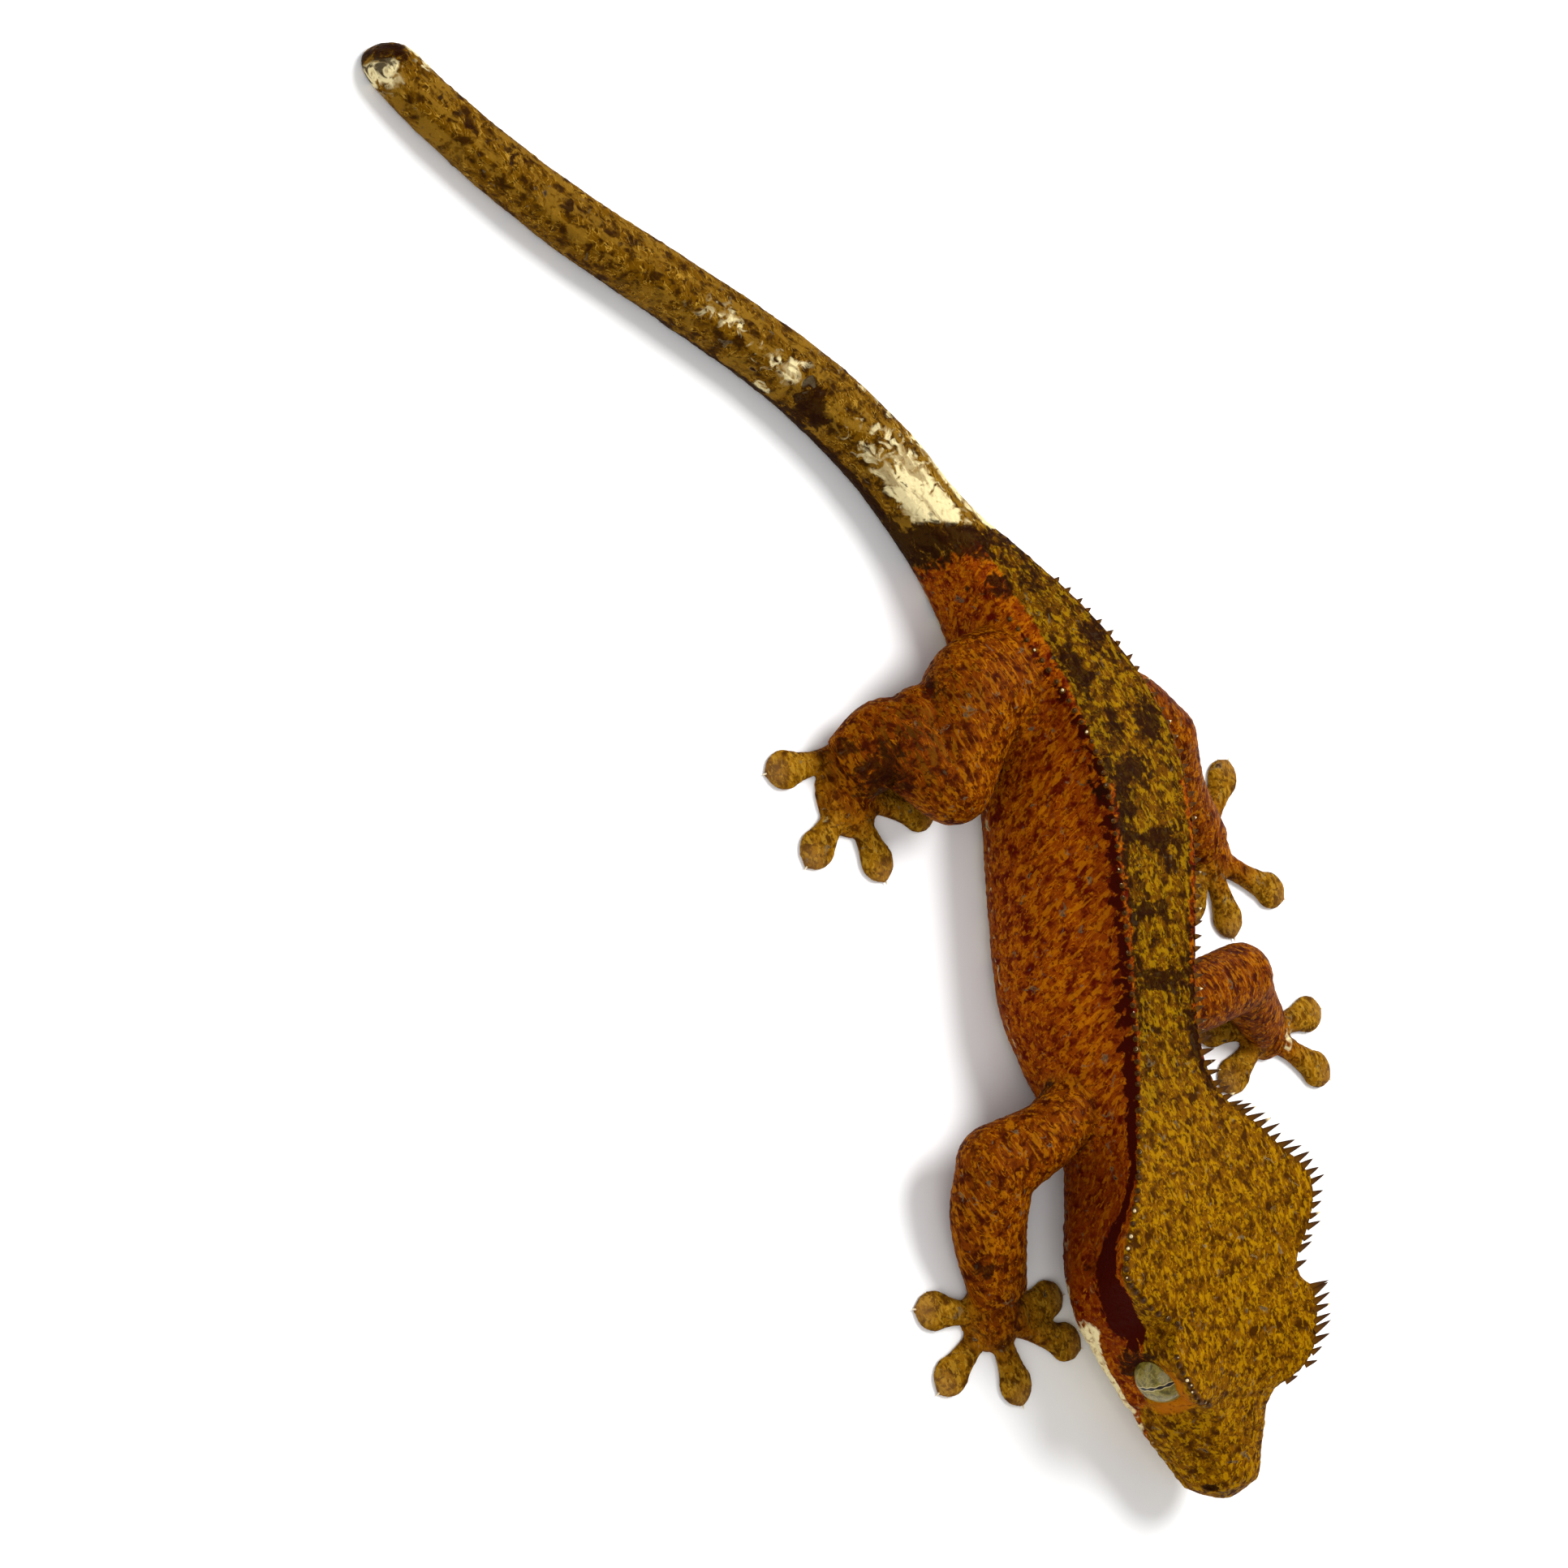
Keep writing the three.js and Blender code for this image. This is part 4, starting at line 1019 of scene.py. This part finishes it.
# on the tail the streaks follow its curve, as they read the distance along it
tail_run, tail_side = paint.times(paint.mask("spine_run"), 0.0030), paint.times(paint.mask("around"), 0.010)
tail_place = node(paint.tree, "ShaderNodeCombineXYZ", {0: tail_run, 1: tail_side}).outputs[0]
tail_streaks = paint.noise(*STREAK, place=tail_place)


def ground(name):
    """Three tones of one ground: mottled, then dashed light, specked dark and lined light."""
    low, middle, high = (colour(*tone) for tone in GROUND[name])
    lie = name if name in STROKES else "back"
    light = tail_streaks if name == "tail" else dashes[lie]
    base = paint.over(low, middle, paint.step(0.34, 0.54, mottle))
    base = paint.over(base, high, paint.times(paint.step(0.5, 0.62, light), 0.6))
    base = paint.over(base, low, paint.times(paint.step(0.53, 0.63, speck), 0.8))
    patchy = paint.times(strokes[lie], paint.step(0.4, 0.62, mottle))
    return paint.over(base, high, paint.times(patchy, 0.8))


def mark(below, name, tone, grain, low, high, roughness, strength=1.0):
    """A tone laid over the rest, where its mask is, with an edge that noise breaks up."""
    share = paint.broken(paint.mask(name), grain, low, high, roughness)
    return paint.over(below, colour(*tone), paint.times(share, strength))


grounds = {name: ground(name) for name in GROUND}
base = paint.over(grounds["flank"], grounds["leg"], paint.mask("leg"))
# the back mask brings in the darker olive; beside the crests that darkening is painted shade
dorsal = paint.over(grounds["olive"], grounds["back"], paint.mask("back"))
base = paint.over(base, dorsal, paint.broken(paint.mask("olive"), breakup, 0.4, 0.6, 1.4))
base = paint.over(base, grounds["tail"], paint.broken(paint.mask("tail"), breakup, 0.4, 0.6, 1.2))
base = paint.over(base, grounds["pad"], paint.times(paint.mask("pad"), 0.85))
base = mark(base, "red", RED, mottle, 0.3, 0.9, 1.4, 0.8)
# the cream mask also holds painted highlight along the rims of the right shank and foot
base = mark(base, "cream", CREAM, breakup, 0.3, 0.8, 2.2, 0.9)
tail_lines = paint.times(paint.step(0.5, 0.6, tail_streaks), paint.mask("tail"))
base = paint.over(base, colour(*GROUND["tail"][1]), paint.times(tail_lines, 0.6))
base = mark(base, "strip", STRIP, breakup, 0.36, 0.62, 2.2)
# the dark mask holds the dark marks and also the painted shade of the legs, the nostrils and the tail's low
# side
base = mark(base, "dark", DARK, breakup, 0.3, 0.74, 2.6, paint.mask("depth"))
# painted shade: dark strokes in the creases of the legs
crease_shade_strokes = paint.times(paint.step(0.5, 0.58, dashes["leg"]), paint.mask("crease_shade"))
base = paint.over(base, colour(*DARK), paint.times(crease_shade_strokes, 0.85))
lid_paint = paint.over(colour(*LID), colour(*LID_SPECK), paint.step(0.55, 0.75, speck))
base = paint.over(base, lid_paint, paint.times(paint.mask("lid"), 0.85))
base = paint.over(base, colour(*TOE_TIP), paint.times(paint.mask("toe_tip"), 0.35))

coarse_cells, fine_cells = (
    node(
        paint.tree, "ShaderNodeTexVoronoi", {"Vector": paint.place, "Scale": per_mm * MM},
        feature="SMOOTH_F1").outputs["Distance"]
    for per_mm in SCALE_CELLS
)
grain = paint.plus(coarse_cells, paint.times(fine_cells, 0.5))
height = reckon(paint.tree, "SUBTRACT", 1.0, grain)
relief = node(paint.tree, "ShaderNodeBump", {"Strength": 0.75, "Distance": 0.00016, "Height": height})
skin_paint = paint.finish(base, roughness=0.5, specular=0.01, bump=relief.outputs[0])
skin.data.materials.clear()
skin.data.materials.append(skin_paint)
print("skin paint:", len(paint.tree.nodes), "nodes")

# %% [markdown]
# ## Into the frame
#
# The eye of the CAD part gives the way from the animal's own millimetres to the frame's metres:
# the same eye is known in both.

# %% Place the skin
eye_low, eye_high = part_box("eye_right")
SHIFT = np.array((eye_low + eye_high) / 2) * 1000 - eye_frame(-1)[0]


def to_frame(piece):
    piece.data.transform(Matrix.Scale(0.001, 4) @ Matrix.Translation(SHIFT))
    piece.data.update()
    return piece


to_frame(skin)
flesh = [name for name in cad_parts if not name.startswith("eye")]
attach(skin, "root")
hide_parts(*flesh)
print("shift to the frame:", np.round(SHIFT, 3), "mm")

# %% [markdown]
# ## Eyes
#
# Each eye is a ball of its own behind the lids. The iris is khaki and finely veined, darker at its
# edge. A wavy upright slit makes the pupil, with pale lips. The clear scale over it is a smooth coat.

# %% Make the eyes
def eyeball(side, rings=96, sides=128):
    centre, look, front, rise = eye_frame(side)
    turn = np.linspace(0, np.pi, rings)[1:-1, None]
    angle = np.linspace(0, 2 * np.pi, sides, endpoint=False)[None, :]
    ahead, up, out = np.sin(turn) * np.cos(angle), np.sin(turn) * np.sin(angle), np.cos(turn) + 0 * angle
    reach = EYE["radius"] * 0.985
    points = centre + reach * (ahead[..., None] * front + up[..., None] * rise + out[..., None] * look)
    faces = shell_faces(points, 0)
    if side > 0:
        faces = [face[::-1] for face in faces]
    ball = mesh_object("eyeball_left" if side > 0 else "eyeball_right", points.reshape(-1, 3), faces)
    for polygon in ball.data.polygons:
        polygon.use_smooth = True
    shapes = {"eye_ahead": ahead, "eye_up": up, "eye_out": out}
    full = {name: np.broadcast_to(value, points.shape[:2]).ravel() for name, value in shapes.items()}
    store(ball.data, full)
    return ball


IRIS = [(72, 62, 12), (116, 103, 34), (154, 138, 66)]
SLIT, SLIT_LIP, EYE_EDGE = (8, 5, 4), (206, 186, 132), (44, 24, 10)
gaze = Paint("gecko_eye")
ahead, up, out = gaze.mask("eye_ahead"), gaze.mask("eye_up"), gaze.mask("eye_out")
# the slit narrows towards its ends and has small waves along its edges
WAVES, WAVE_HEIGHT, SLIT_HALF = 19.0, 0.016, 0.045
slit_waves = reckon(gaze.tree, "SINE", gaze.times(up, WAVES))
slit_half = gaze.plus(gaze.times(slit_waves, WAVE_HEIGHT), SLIT_HALF)
slit_half = gaze.times(slit_half, gaze.step(0.86, 0.55, reckon(gaze.tree, "ABSOLUTE", up)))
from_slit = reckon(gaze.tree, "SUBTRACT", reckon(gaze.tree, "ABSOLUTE", ahead), slit_half)
veins = gaze.lines(gaze.noise(0.9, 3.0, 1.4), 0.05)
iris = gaze.over(colour(*IRIS[0]), colour(*IRIS[1]), gaze.step(0.35, 0.6, gaze.noise(1.4, 3.0)))
iris = gaze.over(iris, colour(*IRIS[2]), gaze.times(veins, 0.55))
iris = gaze.over(iris, colour(*EYE_EDGE), gaze.step(0.42, 0.2, out))
iris = gaze.over(iris, colour(*SLIT_LIP), gaze.times(gaze.step(0.05, 0.015, from_slit), 0.75))
iris = gaze.over(iris, colour(*SLIT), gaze.step(0.012, -0.004, from_slit))
eye_paint = gaze.finish(iris, roughness=0.35, specular=0.15, coat=0.45)

for side, node_name in ((1, "eye_left"), (-1, "eye_right")):
    ball = to_frame(eyeball(side))
    ball.data.materials.append(eye_paint)
    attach(ball, "root")
    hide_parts(node_name)
print("eyes:", round(2 * EYE["radius"], 1), "mm across")

# %% [markdown]
# ## Spines and claws
#
# The crest carries a row of soft pointed scales along each edge, from over the eye to the hips. They
# repeat, so Geometry Nodes grow them: the script scatters root points with a direction, a length
# and a width each, and one tree puts a bent, tapering spine on every point. The claws use it too.

# %% Build the tree that grows spines
def spine_tree(name):
    tree = bpy.data.node_groups.new(name, "GeometryNodeTree")
    tree.interface.new_socket("Roots", in_out="INPUT", socket_type="NodeSocketGeometry")
    for label, value in (("Bend", 0.2), ("Sunk", 0.3)):
        tree.interface.new_socket(label, in_out="INPUT", socket_type="NodeSocketFloat").default_value = value
    for label, value in (("Sides", 8), ("Rings", 6)):
        tree.interface.new_socket(label, in_out="INPUT", socket_type="NodeSocketInt").default_value = value
    tree.interface.new_socket("Paint", in_out="INPUT", socket_type="NodeSocketMaterial")
    tree.interface.new_socket("Spines", in_out="OUTPUT", socket_type="NodeSocketGeometry")
    inputs = node(tree, "NodeGroupInput").outputs
    low = reckon(tree, "SUBTRACT", 0.0, inputs["Sunk"])
    start = node(tree, "ShaderNodeCombineXYZ", {"Z": low}).outputs[0]
    end = node(tree, "ShaderNodeCombineXYZ", {"X": inputs["Bend"], "Z": 1.0}).outputs[0]
    stem = node(tree, "GeometryNodeCurveQuadraticBezier", {
        "Resolution": inputs["Rings"], "Start": start, "Middle": (0, 0, 0.5), "End": end})
    share = node(tree, "GeometryNodeSplineParameter").outputs["Factor"]
    taper = reckon(tree, "POWER", reckon(tree, "SUBTRACT", 1.0, share), 0.75)
    taper = reckon(tree, "MAXIMUM", taper, 0.03)
    named = {"Geometry": stem.outputs[0], "Name": "tip", "Value": share}
    curve = node(tree, "GeometryNodeStoreNamedAttribute", named, data_type="FLOAT").outputs[0]
    ring = node(tree, "GeometryNodeCurvePrimitiveCircle", {"Resolution": inputs["Sides"], "Radius": 1.0})
    spine = node(tree, "GeometryNodeCurveToMesh", {
        "Curve": curve, "Profile Curve": ring.outputs[0], "Scale": taper, "Fill Caps": True}).outputs[0]

    def of_root(label, kind):
        return node(tree, "GeometryNodeInputNamedAttribute", {"Name": label}, data_type=kind).outputs[0]

    aim = {"Vector": of_root("aim", "FLOAT_VECTOR")}
    aim = node(tree, "FunctionNodeAlignRotationToVector", aim, axis="Z").outputs[0]
    wide, tall = of_root("wide", "FLOAT"), of_root("tall", "FLOAT")
    size = node(tree, "ShaderNodeCombineXYZ", {"X": wide, "Y": wide, "Z": tall}).outputs[0]
    placed = node(tree, "GeometryNodeInstanceOnPoints", {
        "Points": inputs["Roots"], "Instance": spine, "Rotation": aim, "Scale": size})
    real = node(tree, "GeometryNodeRealizeInstances", {"Geometry": placed.outputs[0]}).outputs[0]
    painted = node(tree, "GeometryNodeSetMaterial", {"Geometry": real, "Material": inputs["Paint"]})
    node(tree, "NodeGroupOutput", {"Spines": painted.outputs[0]})
    return tree


def grow(name, roots, paint_with, slot, **sizes):
    """One spine at each root, in millimetres, turned into one plain mesh in the frame."""
    piece = mesh_object(name, roots["place"], [])
    aim = piece.data.attributes.new("aim", "FLOAT_VECTOR", "POINT")
    aim.data.foreach_set("vector", np.asarray(roots["aim"], np.float32).ravel())
    store(piece.data, {"tall": roots["tall"], "wide": roots["wide"]})
    growth = piece.modifiers.new("growth", "NODES")
    growth.node_group = SPINE_TREE
    sockets = {item.name: item.identifier for item in SPINE_TREE.interface.items_tree}
    growth[sockets["Paint"]] = paint_with
    for label, size in sizes.items():
        growth[sockets[label]] = size
    applied(piece)
    for polygon in piece.data.polygons:
        polygon.use_smooth = True
    to_frame(piece)
    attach(piece, "root")
    print(name, len(roots["tall"]), "spines,", len(piece.data.polygons), "faces")
    return piece


SPINE_TREE = spine_tree("grow_spines")

# %% [markdown]
# ### The crest's rows
#
# Longest over the eyes and along the back of the head, then ever shorter down the neck and back.

# %% Grow the crest
# row: from, to, spacing, length at both ends, half width, rise
CREST_ROWS = [
    (12.4, 21.4, 0.95, 1.5, 1.95, 0.44, 1.0),
    (24.2, 44.2, 1.1, 1.35, 1.6, 0.44, 1.0),
    (44.9, 58.8, 1.25, 1.4, 1.05, 0.42, 1.0),
    (59.9, 108.0, 1.5, 0.9, 0.5, 0.36, 0.9),
]
SEED = 12
luck = np.random.default_rng(SEED)

spines = {"place": [], "aim": [], "tall": [], "wide": []}
for start, end, gap, first, last, wide, lift in CREST_ROWS:
    for side in (1, -1):
        at = np.arange(start, end, gap)
        at = at + luck.uniform(-0.15, 0.15, len(at))
        here, left = spine_at(at)
        section = smooth(SPINE_RUN, SECTIONS, at)
        out = left * side
        root = np.concatenate([here + out * section[:, 1:2], section[:, 2:3]], axis=1)
        back = np.stack([-left[:, 1], left[:, 0]], axis=1) * 0.25
        aim = np.concatenate([out + back, np.full((len(at), 1), lift)], axis=1)
        aim += luck.uniform(-0.2, 0.2, aim.shape)
        aim /= np.linalg.norm(aim, axis=1)[:, None]
        share = (at - start) / (end - start)
        tall = (first + (last - first) * share) * luck.uniform(0.65, 1.12, len(at))
        spines["place"].append(root)
        spines["aim"].append(aim)
        spines["tall"].append(tall)
        spines["wide"].append(np.full(len(at), wide) * luck.uniform(0.85, 1.1, len(at)))
spines = {key: np.concatenate(value) for key, value in spines.items()}

thorn = Paint("gecko_spine")
tip = thorn.mask("tip")
HORN, SHAFT, POINT, PALE_POINT = (88, 52, 4), (62, 38, 18), (88, 64, 36), (224, 200, 150)
horn = thorn.over(colour(*HORN), colour(*SHAFT), thorn.step(0.1, 0.6, tip))
horn = thorn.over(horn, colour(*POINT), thorn.step(0.7, 1.0, tip))
# a slow noise picks the few spines that have pale points
picked = thorn.times(thorn.step(0.66, 0.7, thorn.noise(0.8, 0.0)), thorn.step(0.5, 0.8, tip))
horn = thorn.over(horn, colour(*PALE_POINT), picked)
thorn_paint = thorn.finish(horn, roughness=0.6, specular=0.04)
grow("crest_spines", spines, thorn_paint, "head_skin")

# %% [markdown]
# ### Claws
#
# A small pale point at the tip of every toe, grown by the same tree without a bend.

# %% Grow the claws
CLAW = {"tall": 0.75, "wide": 0.22, "inset": 0.35, "height": 0.42, "droop": -0.12}
claws = {"place": [], "aim": []}
for limb in LIMBS.values():
    for root, tip in zip(toe_roots(limb), limb["toes"]):
        along = (np.array(tip) - root) / np.linalg.norm(np.array(tip) - root)
        claws["place"].append([*(np.array(tip) - along * CLAW["inset"]), CLAW["height"]])
        claws["aim"].append([*along, CLAW["droop"]])
claws.update({key: [CLAW[key]] * len(claws["aim"]) for key in ("tall", "wide")})
claw = Paint("gecko_claw")
CLAW_ROOT, CLAW_TIP = (150, 120, 84), (222, 208, 176)
claw_horn = claw.over(colour(*CLAW_ROOT), colour(*CLAW_TIP), claw.step(0.2, 0.9, claw.mask("tip")))
claw_paint = claw.finish(claw_horn, roughness=0.3, specular=0.4)
grow("claws", claws, claw_paint, "foot_skin", Bend=0.0, Sunk=0.5)

# %% [markdown]
# ## Floor, light and camera
#
# The animal lies on a plain pale floor. A large soft light stands high over its left side, so
# its shadow is short and soft on its right. A weaker one on its right and a white sky fill the
# dark side.

# %% Set the stage
SKY_STRENGTH = 0.5
FLOOR_HALF = 1500
LAMPS = {
    "key_light": {"place": (0.34, 0.16, 0.62), "size": 0.42, "power": 6.2},
    "fill_light": {"place": (-0.45, -0.15, 0.5), "size": 0.6, "power": 1.8},
}
world = bpy.data.worlds.new("studio")
world.use_nodes = True
world.node_tree.nodes["Background"].inputs["Color"].default_value = (1.0, 1.0, 1.0, 1.0)
world.node_tree.nodes["Background"].inputs["Strength"].default_value = SKY_STRENGTH
bpy.context.scene.world = world
bpy.context.scene.view_settings.view_transform = "Standard"

corners = [(x * FLOOR_HALF, y * FLOOR_HALF, 0) for x, y in ((-1, -1), (1, -1), (1, 1), (-1, 1))]
floor = to_frame(mesh_object("floor", corners, [(0, 1, 2, 3)]))
card = Paint("pale_card")
card.shader.inputs["Base Color"].default_value = (0.93, 0.93, 0.93, 1)
card.shader.inputs["Roughness"].default_value = 0.9
card.shader.inputs["Specular IOR Level"].default_value = 0.0
floor.data.materials.append(card.material)


def soft_light(name, place, size, power):
    """A soft round lamp that points at the middle of the frame."""
    lamp = bpy.data.lights.new(name, "AREA")
    lamp.shape = "DISK"
    lamp.size = size
    lamp.energy = power
    made = bpy.data.objects.new(name, lamp)
    made.location = place
    made.rotation_euler = (-Vector(place)).to_track_quat("-Z", "Y").to_euler()
    bpy.context.scene.collection.objects.link(made)


for name, lamp in LAMPS.items():
    soft_light(name, **lamp)
print("lamps:", ", ".join(LAMPS))

# %% [markdown]
# The camera's three angles and its distance were found from the photo: 52 degrees above the floor,
# on the animal's right, and rolled by 76 degrees, so that its head points down the picture.

# %% Aim the camera
CAMERA = {
    "elevation": 52, "roll": 76, "distance": 430, "target": (-30.06, 0, 0), "pixels_per_mm": 10.9,
    "picture": 1932,
}
lift, roll = math.radians(CAMERA["elevation"]), math.radians(CAMERA["roll"])
sight = Vector((math.cos(lift), 0, -math.sin(lift)))
level = sight.cross(Vector((0, 0, 1))).normalized()
upright = level.cross(sight)
right = level * math.cos(roll) + upright * math.sin(roll)
up = upright * math.cos(roll) - level * math.sin(roll)
camera = bpy.data.objects.new("camera", bpy.data.cameras.new("camera"))
bpy.context.scene.collection.objects.link(camera)
eye_point = (Vector(CAMERA["target"]) - sight * CAMERA["distance"] + Vector(SHIFT)) / 1000
camera.matrix_world = Matrix.Translation(eye_point) @ Matrix((right, up, -sight)).transposed().to_4x4()
camera.data.sensor_width = 36
camera.data.lens = 36 * CAMERA["pixels_per_mm"] * CAMERA["distance"] / CAMERA["picture"]
camera.data.clip_start, camera.data.clip_end = 0.05, 10
bpy.context.scene.camera = camera
print("lens:", round(camera.data.lens, 1), "mm")
